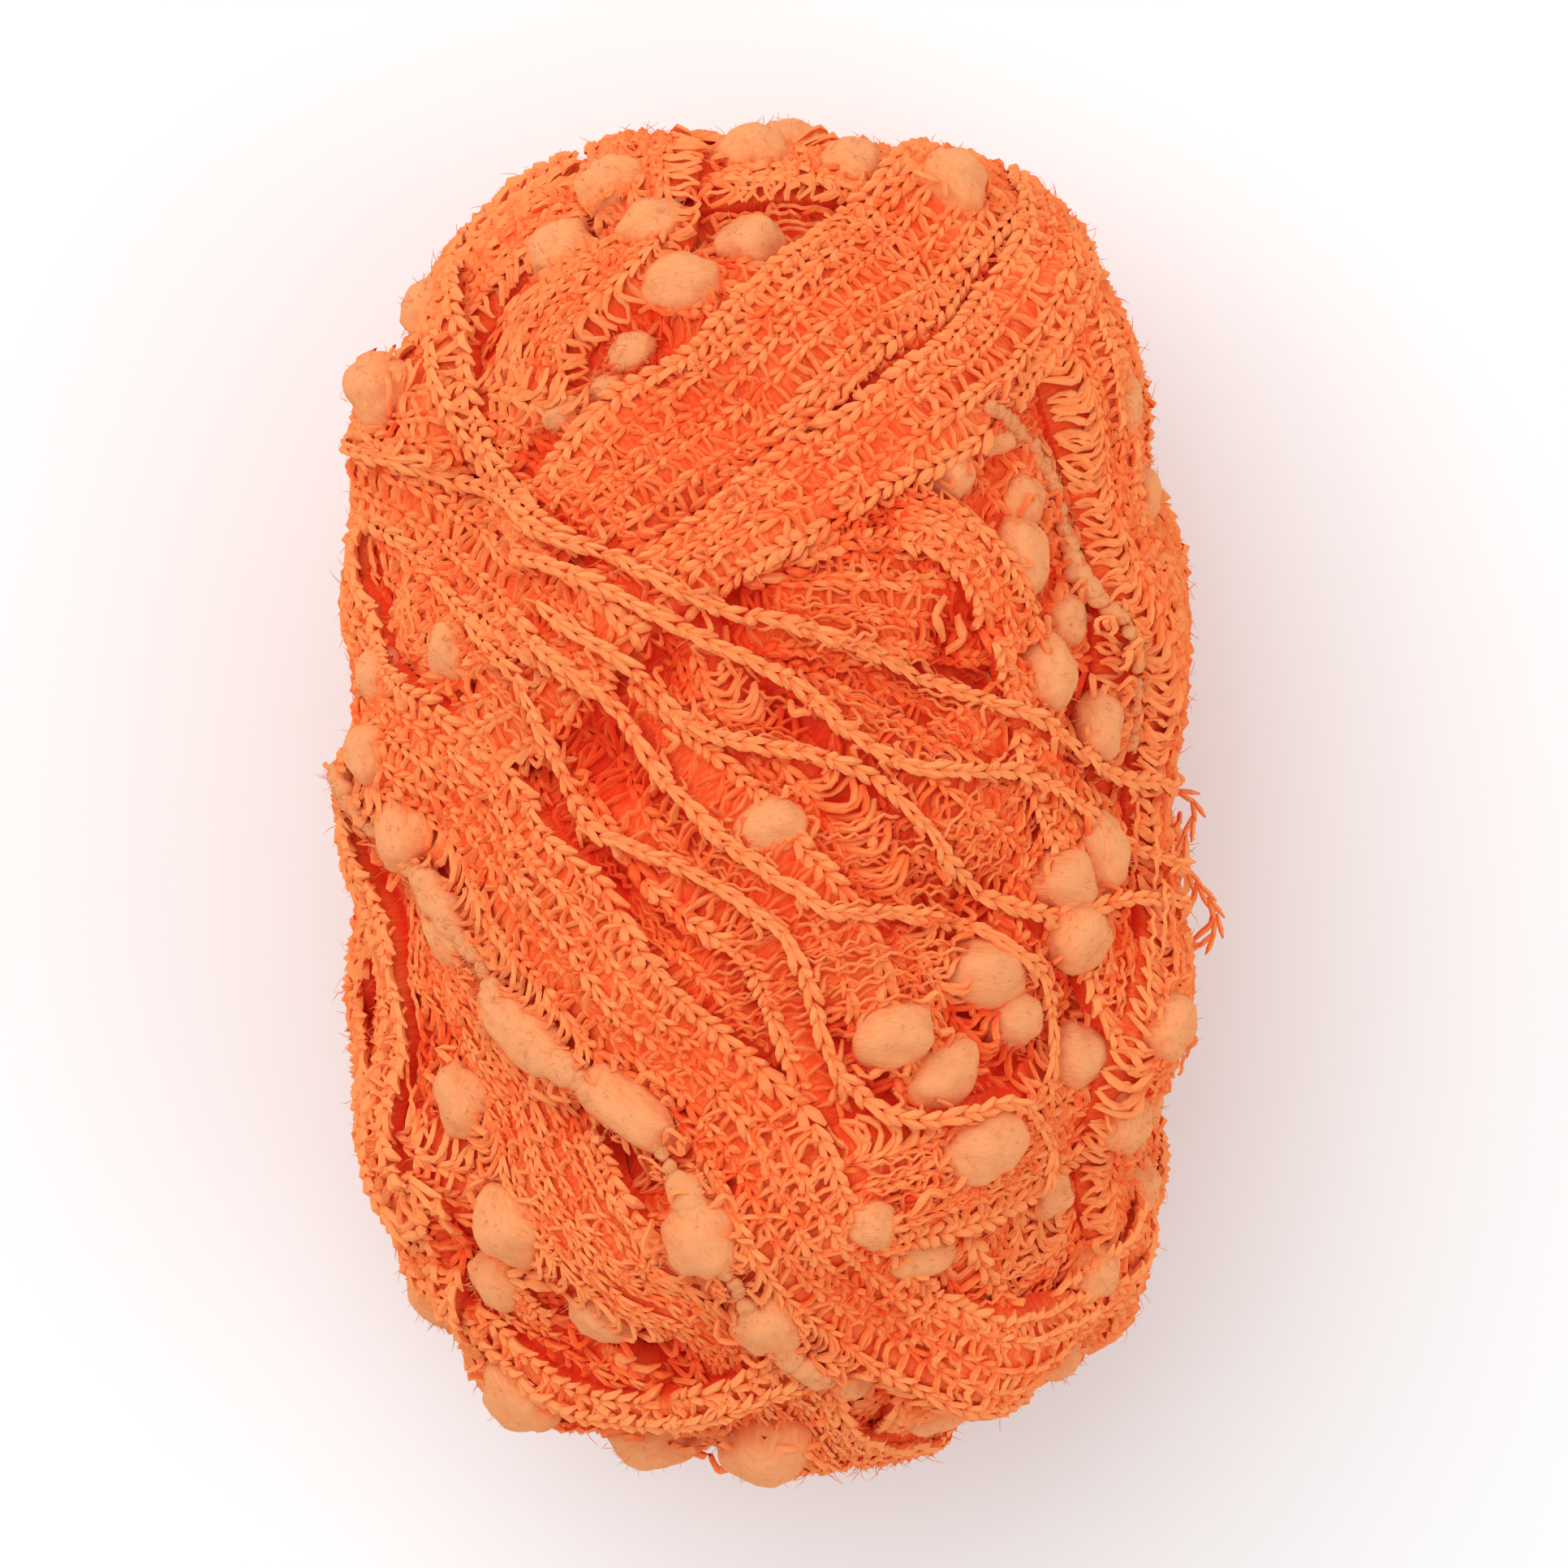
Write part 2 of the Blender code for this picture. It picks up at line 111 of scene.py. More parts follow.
# The wound form is a barrel that every turn of the ribbon lies on: a soft-cornered tube nearly as long as
# the ball, flat where its own weight presses it on the surface.
FORM_WIDTH = 0.1030
FORM_LENGTH = 0.1640
FORM_HEIGHT = 0.0975
SHOULDER = 3.3  # how square the ends are: 2 is an ellipse
FLAT_SPOT_DEPTH = 0.0030
FORM_MIDDLE = np.array((-0.00210, -0.00108, FORM_HEIGHT / 2 - FLAT_SPOT_DEPTH))

half_form = np.array((FORM_WIDTH, FORM_LENGTH, FORM_HEIGHT)) / 2


def unit(rows):
    return rows / np.maximum(np.linalg.norm(rows, axis=-1, keepdims=True), 1e-12)


def onto_form(points):
    """The points carried out along their rays from the middle to the form."""
    rays = unit(points)
    round_share = (rays[..., 0] / half_form[0]) ** 2 + (rays[..., 2] / half_form[2]) ** 2
    end_share = np.abs(rays[..., 1] / half_form[1]) ** SHOULDER
    return rays * ((round_share ** (SHOULDER / 2) + end_share) ** (-1 / SHOULDER))[..., None]


def outward(points):
    """The form's outward unit normals at points on it."""
    round_share = (points[..., 0] / half_form[0]) ** 2 + (points[..., 2] / half_form[2]) ** 2
    steep = round_share ** (SHOULDER / 2 - 1)
    end = np.sign(points[..., 1]) * np.abs(points[..., 1] / half_form[1]) ** (SHOULDER - 1) / half_form[1]
    return unit(np.stack([steep * points[..., 0] / half_form[0] ** 2, end,
                          steep * points[..., 2] / half_form[2] ** 2], axis=-1))


def form_point(x, y, face):
    """The point of the form at x and y in metres. face is 1 for the upper half and -1 for the lower."""
    free = max(0.0, 1 - abs(y / half_form[1]) ** SHOULDER) ** (2 / SHOULDER)
    deep = max(0.0, free - (x / half_form[0]) ** 2)
    return np.array((x, y, face * half_form[2] * math.sqrt(deep)))


# The height map keeps how high the ribbon is piled at each place, on the six sides of a box around the
# form.
MAP_CELLS = 176  # along each edge of a side
pile = np.zeros(6 * MAP_CELLS * MAP_CELLS)


def map_cell(points):
    scaled = points / half_form
    side = np.abs(scaled).argmax(axis=-1)
    lead = np.take_along_axis(scaled, side[..., None], axis=-1)[..., 0]
    across = np.take_along_axis(scaled, ((side + 1) % 3)[..., None], axis=-1)[..., 0] / np.abs(lead)
    upward = np.take_along_axis(scaled, ((side + 2) % 3)[..., None], axis=-1)[..., 0] / np.abs(lead)
    column = np.clip(((across + 1) / 2 * MAP_CELLS).astype(int), 0, MAP_CELLS - 1)
    row = np.clip(((upward + 1) / 2 * MAP_CELLS).astype(int), 0, MAP_CELLS - 1)
    return ((side * 2 + (lead > 0)) * MAP_CELLS + column) * MAP_CELLS + row


# The ribbon's turns, in the order they were wound. Each lies on what is under it and bridges the hollows,
# as a taut ribbon does. The stations over the upper face are read from the photograph, in mm from the
# form's middle.
MM = 0.001


class Turn(NamedTuple):
    """One turn of the ribbon. A station is (x, y, width) in mm, seen from above.

    pompom_side is 1 for a pompom edge on the right of the turn's course, -1 for one on its left, and 0 for
    none that shows.
    """

    name: str
    wales: int  # knitted chains side by side
    rise: float  # how far it stands above what it lies on, in mm
    pompom_side: int
    upper: tuple
    under: tuple = ()


TURNS = (
    Turn("end_to_end_right", 6, 2.6, 1,
         ((34, 70, 16), (43, 42, 18), (46, 10, 18), (46, -25, 18), (36, -62, 16), (12, -79, 14)),
         ((-22, -74, 16), (-40, -40, 18), (-44, 5, 18), (-36, 45, 18), (-8, 77, 14))),
    Turn("end_to_end_left", 6, 2.6, 1,
         ((-30, 72, 16), (-44, 46, 18), (-48, 12, 18), (-47, -28, 18), (-36, -62, 16), (-6, -80, 14)),
         ((26, -72, 16), (42, -36, 18), (45, 8, 18), (34, 52, 18), (6, 78, 14))),
    Turn("over_the_top", 5, 3.0, 1,
         ((-46, 40, 13), (-34, 66, 12), (-12, 77, 12), (12, 77, 12), (32, 70, 12), (47, 40, 14)),
         ((44, -12, 18), (22, -50, 20), (-14, -58, 20), (-42, -20, 18))),
    Turn("upper_left_steep", 5, 2.8, -1,
         ((-14, 72, 13), (-28, 54, 14), (-26, 36, 14), (-10, 14, 16), (6, -8, 18), (18, -26, 18),
          (30, -50, 16), (24, -72, 14)),
         ((2, -74, 16), (-26, -42, 18), (-30, 10, 18), (-16, 60, 16))),
    Turn("middle_steep", 4, 2.4, 0,
         ((-44, 20, 14), (-26, 12, 16), (-12, 0, 16), (4, -18, 16), (10, -36, 14), (20, -58, 14),
          (30, -72, 14)),
         ((40, -40, 16), (30, 0, 18), (0, 30, 18), (-34, 34, 16))),
    Turn("lower_right_rising", 5, 2.8, -1,
         ((-49, -38, 16), (-24, -52, 16), (4, -50, 17), (24, -44, 17), (43, -34, 16)),
         ((46, 6, 18), (24, 40, 20), (-10, 52, 20), (-40, 16, 18))),
    Turn("right_shoulder", 4, 2.4, -1,
         ((-34, 46, 14), (-8, 34, 14), (12, 35, 9), (24, 31, 9), (31, 20, 9), (38, 0, 12), (45, -26, 14)),
         ((36, -58, 16), (0, -62, 18), (-32, -30, 18), (-46, 20, 16))),
    Turn("right_side", 4, 2.8, -1,
         ((20, 75, 12), (33, 64, 13), (39, 48, 15), (43.5, 32, 16), (47, 14, 15), (48, -8, 13),
          (44, -44, 14)),
         ((22, -72, 16), (-14, -66, 16), (-38, -12, 18), (-26, 52, 18))),
    Turn("broad_upper", 6, 2.6, 0,
         ((30.6, 76.6, 15), (21.6, 72.2, 16), (13.9, 64.9, 18.4), (4.4, 55.7, 18.6), (-6.2, 46.8, 18.6),
          (-20.6, 35.9, 16), (-32, 26, 15), (-48, 14, 15)),
         ((-44, -22, 18), (-20, -48, 20), (12, -40, 20), (40, 6, 20), (44, 52, 18))),
    Turn("broad_lower", 4, 2.6, 0,
         ((34.8, 74, 11.6), (33.4, 64.8, 11.6), (30.4, 57.8, 13), (23.8, 51.1, 12.6), (13.3, 42.8, 10.6),
          (2.9, 34.8, 9.4), (-10.3, 27.2, 9.4), (-20, 21.5, 11), (-33, 13, 12), (-50, -3, 13)),
         ((-36, -46, 16), (-2, -64, 18), (30, -34, 20), (40, 30, 18), (38, 66, 14))),
    Turn("lower_left_wide", 8, 2.8, 1,
         ((-50, -6, 17), (-43, -20, 18), (-36, -34, 18), (-27, -47, 19), (-18, -59, 18), (-6, -71, 17)),
         ((26, -70, 16), (44, -26, 18), (34, 26, 20), (0, 50, 20), (-40, 30, 18))),
    Turn("bottom_arc", 2, 2.4, 1,
         ((-50, -38, 6), (-45, -53, 5), (-34.5, -65.5, 5), (-24.5, -73, 5), (-14.5, -75, 5), (-4.5, -73.5, 5),
          (8, -70, 6), (24, -71, 7), (40, -62, 8)),
         ((49, -22, 12), (26, 18, 16), (-16, 10, 18), (-46, -16, 12))),
    Turn("left_narrow", 2, 2.2, 0,
         ((-44, 58, 6), (-50, 20, 6), (-50, -6, 6), (-48, -18, 6.5), (-46.4, -27, 7), (-46.2, -35, 7),
          (-45, -43, 6.5), (-42, -50, 6), (-39, -55, 6)),
         ((-4, -74, 12), (34, -40, 16), (28, 30, 16), (-10, 72, 12))),
    Turn("great_diagonal", 5, 3.2, 1,
         ((-51, 21, 16), (-47.4, 8.6, 18), (-37.5, -4.6, 20.8), (-29.2, -15.1, 20.2), (-20, -26.2, 19.8),
          (-11.4, -34.3, 17.8), (-3.2, -42.9, 18.4), (2, -53, 16.8), (7.2, -61, 16), (17, -68, 15),
          (32, -68.5, 14), (45, -60, 15)),
         ((46, -34, 16), (34, 6, 18), (4, 36, 20), (-30, 42, 18))),
    Turn("left_collar", 2, 2.2, 0,
         ((-24, 78, 7), (-38, 67, 6), (-38.5, 53, 6), (-36.5, 43.5, 6), (-32.5, 35, 6), (-24, 28, 6))),
    Turn("drawn_band", 4, 1.8, 0,
         ((-52, 46, 10), (-47, 39, 11.5), (-39.5, 31.5, 13), (-31, 25.5, 12.5), (-24, 20.5, 11),
          (-17, 15, 9))),
)
STATION_STEP = 0.0005
COURSE_STEPS = 500
BRIDGE_REACH = 0.006  # a taut turn keeps this much of its course straight
LANES = 9  # places across a turn where its height is worked out
LANE_KEEPS = 0.65  # how much of what lies under one lane it follows by itself, the rest being the turn's mean
CROWN_FALL = 0.75  # rounds a turn's edges down to half its rise
CROWN_POWER = 6
MAP_FILL = 0.0005  # between the paths that mark a turn in the height map
GATHER = 0.07  # how much a turn's width comes and goes
GATHER_REACH = 50  # over how many stations
SWAY = 0.0006  # how far its middle wanders
SWAY_REACH = 60
chance = np.random.default_rng(11)


def wander(count, reach, amount):
    """A slow random drift that comes back to where it began; amount is its standard deviation."""
    window = np.hanning(reach + 2)[1:-1]
    rough = np.resize(chance.normal(size=count), count + reach)
    return amount * np.convolve(rough, window, mode="valid")[:count] / np.sqrt((window ** 2).sum())


def smooth_line(stations, steps, closed):
    """Points of a Catmull-Rom curve through the stations, evenly shared between them."""
    stations = np.asarray(stations, float)
    count = len(stations)
    spans = count if closed else count - 1
    at = np.arange(steps) * spans / steps if closed else np.linspace(0, spans, steps)
    first = np.minimum(at.astype(int), spans - 1)
    part = (at - first)[:, None]

    def station(shift):
        index = first + shift
        return stations[index % count] if closed else stations[np.clip(index, 0, count - 1)]

    before, start, end, after = (station(shift) for shift in (-1, 0, 1, 2))
    return 0.5 * (2 * start + (end - before) * part
                  + (2 * before - 5 * start + 4 * end - after) * part ** 2
                  + (3 * start - before - 3 * end + after) * part ** 3)


def evenly(line, step, closed):
    """The rows of a line, whose first three values are a place, resampled at an even step."""
    if closed:
        line = np.vstack([line, line[:1]])
    run = np.concatenate([[0], np.cumsum(np.linalg.norm(np.diff(line[:, :3], axis=0), axis=1))])
    at = np.linspace(0, run[-1], max(int(run[-1] / step), 4), endpoint=not closed)
    return np.stack([np.interp(at, run, column) for column in line.T], axis=1)


def average_along(values, reach, closed):
    padded = np.pad(values, ((0, 0), (reach, reach)), mode="wrap" if closed else "edge")
    total = np.cumsum(np.pad(padded, ((0, 0), (1, 0))), axis=1)
    return (total[:, 2 * reach + 1:] - total[:, :-2 * reach - 1]) / (2 * reach + 1)


class Laid(NamedTuple):
    """A turn in its place: its middle line on the form, sideways directions, half widths and lane heights."""

    closed: bool
    line: np.ndarray
    sideways: np.ndarray
    half: np.ndarray
    heights: np.ndarray


def lane_heights(heights, across):
    """The lanes' heights along a course, read at a place across the turn from -1 to 1."""
    lane = (across + 1) / 2 * (LANES - 1)
    low_lane = min(int(lane), LANES - 2)
    return heights[low_lane] + (lane - low_lane) * (heights[low_lane + 1] - heights[low_lane])


def lay_on_pile(line, half, rise, closed):
    """Lays a turn along a line on the form, on top of the pile, and raises the pile by it."""
    line = onto_form(line)
    ahead = np.roll(line, -1, axis=0) - np.roll(line, 1, axis=0) if closed else np.gradient(line, axis=0)
    sideways = unit(np.cross(ahead, outward(line)))
    lanes = np.linspace(-1, 1, LANES)
    places = onto_form(line[None] + lanes[:, None, None] * (half[:, None] * sideways)[None])
    under = pile[map_cell(places)]
    reach = int(BRIDGE_REACH / 2 / STATION_STEP)
    under = average_along(under, reach, closed)
    under = LANE_KEEPS * under + (1 - LANE_KEEPS) * under.mean(axis=0, keepdims=True)
    under = average_along(under, reach // 2, closed)
    crown = np.sqrt(1 - CROWN_FALL * np.abs(lanes) ** CROWN_POWER)
    heights = under + rise * crown[:, None]
    for across in np.arange(-1, 1.001, MAP_FILL / half.max()):
        cells = map_cell(onto_form(line + across * half[:, None] * sideways))
        np.maximum.at(pile, cells, lane_heights(heights, across))
    return Laid(closed, line, sideways, half, heights)


def lay_turn(turn):
    rows = [(*form_point(x * MM, y * MM, face), width * MM / 2)
            for face, stations in ((1, turn.upper), (-1, turn.under)) for x, y, width in stations]
    closed = bool(turn.under)
    course = smooth_line(rows, COURSE_STEPS, closed)
    course[:, :3] = onto_form(course[:, :3])
    course = evenly(course, STATION_STEP, closed)
    half = course[:, 3] * (1 + wander(len(course), GATHER_REACH, GATHER))
    ahead = np.gradient(course[:, :3], axis=0)
    aside = unit(np.cross(ahead, outward(course[:, :3])))
    line = course[:, :3] + aside * wander(len(course), SWAY_REACH, SWAY)[:, None]
    return lay_on_pile(line, half, turn.rise * MM, closed)


# Under the named turns lie the inner ones. A winding machine lays them slanting round the ball's long
# axis, each a little further round than the last.
INNER_TURNS = 15
INNER_WIDTH = 0.0175
INNER_RISE = 0.0018
INNER_SLANT = (math.radians(36), math.radians(62))  # from the long axis, in alternate turns
GOLDEN_SHARE = 3 - math.sqrt(5)  # of half a turn, from one to the next, which spreads them evenly
HOOP_STEPS = 600


def inner_turn(number):
    """A slanting hoop round the form, as a line of points."""
    round_angle = number * math.pi * GOLDEN_SHARE
    slant = INNER_SLANT[number % 2]
    lengthways = Vector((0, 1, 0))
    sideways = Vector((math.cos(round_angle), 0, math.sin(round_angle)))
    steep = lengthways * math.cos(slant) + sideways.cross(lengthways) * math.sin(slant)
    turned = np.linspace(0, 2 * math.pi, HOOP_STEPS, endpoint=False)[:, None]
    hoop = onto_form(np.cos(turned) * np.array(steep) + np.sin(turned) * np.array(sideways))
    return evenly(hoop, STATION_STEP, True)


inner_laid = []
for inner_number in range(INNER_TURNS):
    hoop_line = inner_turn(inner_number)
    inner_laid.append(lay_on_pile(hoop_line, np.full(len(hoop_line), INNER_WIDTH / 2), INNER_RISE, True))
turns_laid = [lay_turn(turn) for turn in TURNS]

# Over the middle of the face the ribbon's edge has pulled out of the mesh: long single chains, stretched
# from the left shoulder to the right side like a net.
PULLED_CHAINS = (
    # name, rise in mm, stations (x, y) in mm
    ("pulled_chain_low", 1.5, (
        (-42, 26), (-37, 20.5), (-33, 17), (-30, 14.5), (-28.5, 11.5), (-27.5, 8), (-26.5, 5), (-25.5, 2),
        (-24.3, -1), (-22, -3.8), (-18, -5.8), (-12, -8.5), (-9, -10), (-5, -12.2), (-2, -14.2), (2, -17.3),
        (4.5, -22.5), (5.5, -25.5), (6.3, -28.5), (7.2, -31.5), (9, -34.5), (11.5, -37.2), (14.5, -38.9),
        (18, -39.3), (22, -38.6), (26, -37.5), (29, -37), (31.3, -38.6), (33.3, -40.8), (34.6, -43.5),
        (34, -46.5), (32.5, -49.5))),
    ("pulled_chain_turning", 1.6, (
        (-30, 22), (-26, 17.5), (-22, 13.5), (-18, 10), (-15, 6), (-12, 2), (-9, -1), (-6, -4), (-3, -7),
        (0, -9.6), (3, -11.7), (6, -13.5), (9, -14.4), (14, -14.2), (18, -14.3), (22, -15), (26, -16),
        (29, -17.5), (31, -19.5), (33.5, -21), (35, -23.5), (36, -27), (35.5, -31), (35, -34), (36, -37),
        (38, -39))),
    ("pulled_chain_middle", 1.5, (
        (-26, 22.5), (-20, 18.5), (-16, 15.5), (-13, 12), (-10, 9), (-7, 7.6), (-3, 6.7), (0, 6.2), (5, 5.3),
        (9, 4), (12, 2.5), (15, 0.5), (18, -2.3), (20, -4.5), (21.5, -7), (24, -9.5), (26, -11.5),
        (29, -13.3), (32, -14.6), (35, -15), (38, -14.3), (42, -13.2), (46, -13.5), (50, -14))),
    ("pulled_chain_bundle", 1.7, (
        (-30, 29), (-20, 25.5), (-13, 21.5), (-8, 18.5), (-3, 16), (0, 14.5), (3, 12.5), (6, 10), (8, 8),
        (12, 5.5), (15, 4), (20, 2.8), (25, 3), (30, 3.2), (33, 2.5), (36, 0.5), (39, -2), (42, -4.5),
        (45, -7), (49, -9))),
    ("pulled_chain_upper", 1.7, (
        (-52, 45), (-41, 39), (-33, 36), (-29, 33), (-25, 30.5), (-20, 28.8), (-16, 26.5), (-12, 24),
        (-8, 22), (-5, 20.8), (0, 20.3), (5, 19.3), (10, 18.3), (15, 16.3), (20, 14), (25, 12), (30, 10),
        (33, 9), (35, 7.5), (38, 5), (41, 2.7), (46, 1), (51, 0.3))),
)
PULLED_HALF_WIDTH = 0.0009
FACE_LINE_STEPS = 400


def face_line(stations):
    """An even line over the upper face through stations (x, y) in mm."""
    rows = [form_point(x * MM, y * MM, 1) for x, y in stations]
    return evenly(onto_form(smooth_line(rows, FACE_LINE_STEPS, False)), STATION_STEP, False)


pulled_laid = []
for _, chain_rise, chain_stations in PULLED_CHAINS:
    chain_line = face_line(chain_stations)
    half_chain = np.full(len(chain_line), PULLED_HALF_WIDTH)
    pulled_laid.append(lay_on_pile(chain_line, half_chain, chain_rise * MM, False))

# The winder's tension presses every pile back into the form, so heights are measured from their own mean
# nearby. Between the turns some hollows go down to the dense inside.
SETTLE_REACH = 0.016  # piled turns press in until their mean over this reach is level
SAMPLE_PLACES = 1400
POINTS_AT_ONCE = 4096
LOWEST_STRAND = 0.0002  # over the surface that the ball lies on


def spread_places(count):
    """So many places, spread evenly over the form."""
    turned = np.arange(count) * math.pi * GOLDEN_SHARE
    rise = 1 - 2 * (np.arange(count) + 0.5) / count
    reach = np.sqrt(1 - rise ** 2)
    return onto_form(half_form * np.stack([reach * np.cos(turned), rise, reach * np.sin(turned)], axis=1))


sample_places = spread_places(SAMPLE_PLACES)
sample_heights = pile[map_cell(sample_places)]
HOLLOWS = (
    # x, y, radius and depth in mm
    (-20.5, 4.5, 5.0, 4.0), (-23.5, 7.0, 2.6, 3.4), (-16.0, 2.0, 2.4, 3.0), (-12.4, 16.0, 2.4, 3.0),
    (-3.0, 24.0, 2.6, 2.0), (1.8, 28.0, 1.6, 1.4), (1.0, 9.2, 3.2, 2.4), (9.0, 32.6, 1.8, 2.6),
    (13.5, 33.3, 2.0, 3.0), (22.4, 20.0, 2.8, 3.6), (22.3, 16.6, 2.2, 3.0), (27.0, 20.5, 2.0, 2.6),
    (36.2, 27.0, 1.8, 3.2), (32.2, 17.2, 1.6, 3.0), (39.8, 12.2, 2.0, 3.6), (33.5, 22.6, 1.8, 3.0),
    (39.6, -6.5, 1.5, 2.8), (40.6, -11.4, 1.8, 3.4), (43.0, -16.4, 1.6, 2.8), (7.6, -1.6, 1.8, 2.8),
    (-17.5, -9.5, 3.2, 2.2), (-12.0, -14.5, 2.6, 1.8), (24.6, -26.8, 3.2, 4.2), (28.6, -32.6, 3.2, 4.2),
    (13.8, -35.2, 1.8, 3.2), (9.4, -28.6, 1.8, 2.8), (-4.0, -47.2, 1.4, 2.4), (-11.5, -38.2, 1.4, 2.2),
    (-24.0, -38.8, 2.2, 2.0), (-19.0, -43.2, 2.4, 2.2), (-14.5, -47.6, 2.2, 2.2), (14.6, -48.6, 1.6, 2.8),
    (-37.3, -55.8, 3.6, 3.4), (-24.5, -66.5, 4.2, 3.4), (-13.1, -69.3, 3.6, 3.0), (-14.5, 55.2, 2.6, 3.0),
    (-39.6, 13.6, 2.4, 3.0), (-30.0, 41.5, 2.6, 2.6), (-27.5, 43.0, 1.8, 2.8), (29.5, 44.5, 2.4, 3.0),
    (-42.0, -30.0, 3.0, 2.4), (-8.0, 66.5, 3.0, 2.0), (34.0, -17.2, 1.4, 2.4), (38.0, -21.8, 2.0, 2.4),
)


def level(points):
    """The pile's mean height around each point."""
    mean = np.empty(len(points))
    for start in range(0, len(points), POINTS_AT_ONCE):
        block = points[start:start + POINTS_AT_ONCE]
        apart = ((block ** 2).sum(axis=1)[:, None] + (sample_places ** 2).sum(axis=1)[None]
                 - 2 * block @ sample_places.T)
        weight = np.exp(-apart / SETTLE_REACH ** 2)
        mean[start:start + POINTS_AT_ONCE] = (weight @ sample_heights) / weight.sum(axis=1)
    return mean


def hollow_depth(points):
    """How far the hollows let the ribbon sink at each point."""
    depth = np.zeros(len(points))
    for x, y, radius, deep in HOLLOWS:
        apart = np.linalg.norm(points - form_point(x * MM, y * MM, 1), axis=1)
        depth = np.maximum(depth, deep * MM * np.exp(-(apart / (radius * MM)) ** 2))
    return depth


def in_place(points, heights):
    """World places of points on the form, raised to their heights in the pile."""
    raised = points + outward(points) * (heights - level(points))[:, None] + FORM_MIDDLE
    raised[:, 2] = np.maximum(raised[:, 2], LOWEST_STRAND)
    return raised


RING_PLACES = 8
RING_REACH = 0.0032
RING_START = np.array((0.31, 0.83, 0.46))  # any slanting direction would do
HOLLOW_SHADE = 1.4  # how much darker a hollow is than its depth makes it


def pile_around(points):
    """The pile's heights at each place of a ring around each point."""
    up = outward(points)
    first = unit(np.cross(up, RING_START))
    second = np.cross(up, first)
    rings = []
    for number in range(RING_PLACES):
        angle = 2 * math.pi * number / RING_PLACES
        near = points + RING_REACH * (first * math.cos(angle) + second * math.sin(angle))
        rings.append(pile[map_cell(onto_form(near))])
    return np.stack(rings)


def standing(points, heights):
    """How far each point stands above the pile around it, in mm. In a crease it is less than nothing."""
    # Hollows count deeper than they are, for painted shade in them.
    return (heights - pile_around(points).mean(axis=0) - HOLLOW_SHADE * hollow_depth(points)) / MM


# The yarn is one soft fuzzy thread of one orange. Each strand's tone comes from the mesh: painted light on
# its upper side and where it stands high, painted shade on its underside and in the creases where strands
# press together, and chance.
THREAD_DEEP = (0.90, 0.066, 0.016, 1.0)
THREAD_MIDDLE = (0.92, 0.168, 0.041, 1.0)
THREAD_LIGHT = (0.93, 0.315, 0.104, 1.0)
CLOUD_SHARE = 0.30  # how much soft clouds of tone add


def yarn_material(name, deep, middle, light, streaks, contrast, bump_depth):
    """Fuzzy fibre in three colours. The UV map runs along and around each strand and carries its streaks."""
    made = bpy.data.materials.new(name)
    made.use_nodes = True
    nodes, links = made.node_tree.nodes, made.node_tree.links

    def add_share(value, share, base):
        """Adds a share of one value to another."""
        step = nodes.new("ShaderNodeMath")
        step.operation = "MULTIPLY_ADD"
        step.inputs[1].default_value = share
        links.new(value, step.inputs[0])
        links.new(base, step.inputs[2])
        return step.outputs["Value"]

    shader = nodes["Principled BSDF"]
    shader.inputs["Roughness"].default_value = 0.95
    shader.inputs["Specular IOR Level"].default_value = 0.08
    shader.inputs["Sheen Weight"].default_value = 0.35
    shader.inputs["Sheen Roughness"].default_value = 0.45
    shader.inputs["Sheen Tint"].default_value = (1.0, 0.36, 0.13, 1.0)

    tone = nodes.new("ShaderNodeAttribute")
    tone.attribute_name = "tone"
    place = nodes.new("ShaderNodeTexCoord")
    clouds = nodes.new("ShaderNodeTexNoise")
    clouds.inputs["Scale"].default_value = 420
    clouds.inputs["Detail"].default_value = 2.0
    links.new(place.outputs["Object"], clouds.inputs["Vector"])
    drawn = nodes.new("ShaderNodeMapping")
    drawn.inputs["Scale"].default_value = streaks
    links.new(place.outputs["UV"], drawn.inputs["Vector"])
    fibres = nodes.new("ShaderNodeTexNoise")
    fibres.inputs["Scale"].default_value = 1.0
    fibres.inputs["Detail"].default_value = 2.0
    fibres.inputs["Roughness"].default_value = 0.65
    links.new(drawn.outputs["Vector"], fibres.inputs["Vector"])

    mottled = add_share(clouds.outputs["Fac"], CLOUD_SHARE, tone.outputs["Fac"])
    streaked = add_share(fibres.outputs["Fac"], contrast, mottled)
    ramp = nodes.new("ShaderNodeMapRange")
    ramp.inputs["From Min"].default_value = 0.45
    ramp.inputs["From Max"].default_value = 1.45
    links.new(streaked, ramp.inputs["Value"])
    colours = nodes.new("ShaderNodeValToRGB")
    colours.color_ramp.elements[0].position = 0.05
    colours.color_ramp.elements[0].color = deep
    colours.color_ramp.elements[1].position = 0.95
    colours.color_ramp.elements[1].color = light
    colours.color_ramp.elements.new(0.50).color = middle
    links.new(ramp.outputs["Result"], colours.inputs["Fac"])
    links.new(colours.outputs["Color"], shader.inputs["Base Color"])

    bump = nodes.new("ShaderNodeBump")
    bump.inputs["Strength"].default_value = 0.7
    bump.inputs["Distance"].default_value = bump_depth
    links.new(fibres.outputs["Fac"], bump.inputs["Height"])
    links.new(bump.outputs["Normal"], shader.inputs["Normal"])
    return made


thread = yarn_material("orange_thread", THREAD_DEEP, THREAD_MIDDLE, THREAD_LIGHT, (1.1, 5.0, 1.0), 0.80,
                       0.00016)

# The dense inside of the ball stands for the imported solid. It keeps well under the top turns and follows
# their creases, and it is painted dark red for the shade down there.
INSIDE_DEPTH = 0.0032
INSIDE_STEPS = 6
INSIDE_SMOOTHINGS = 2
# A low tone: painted shade of the deep inside.
INSIDE_SHADE_TONE = 0.16
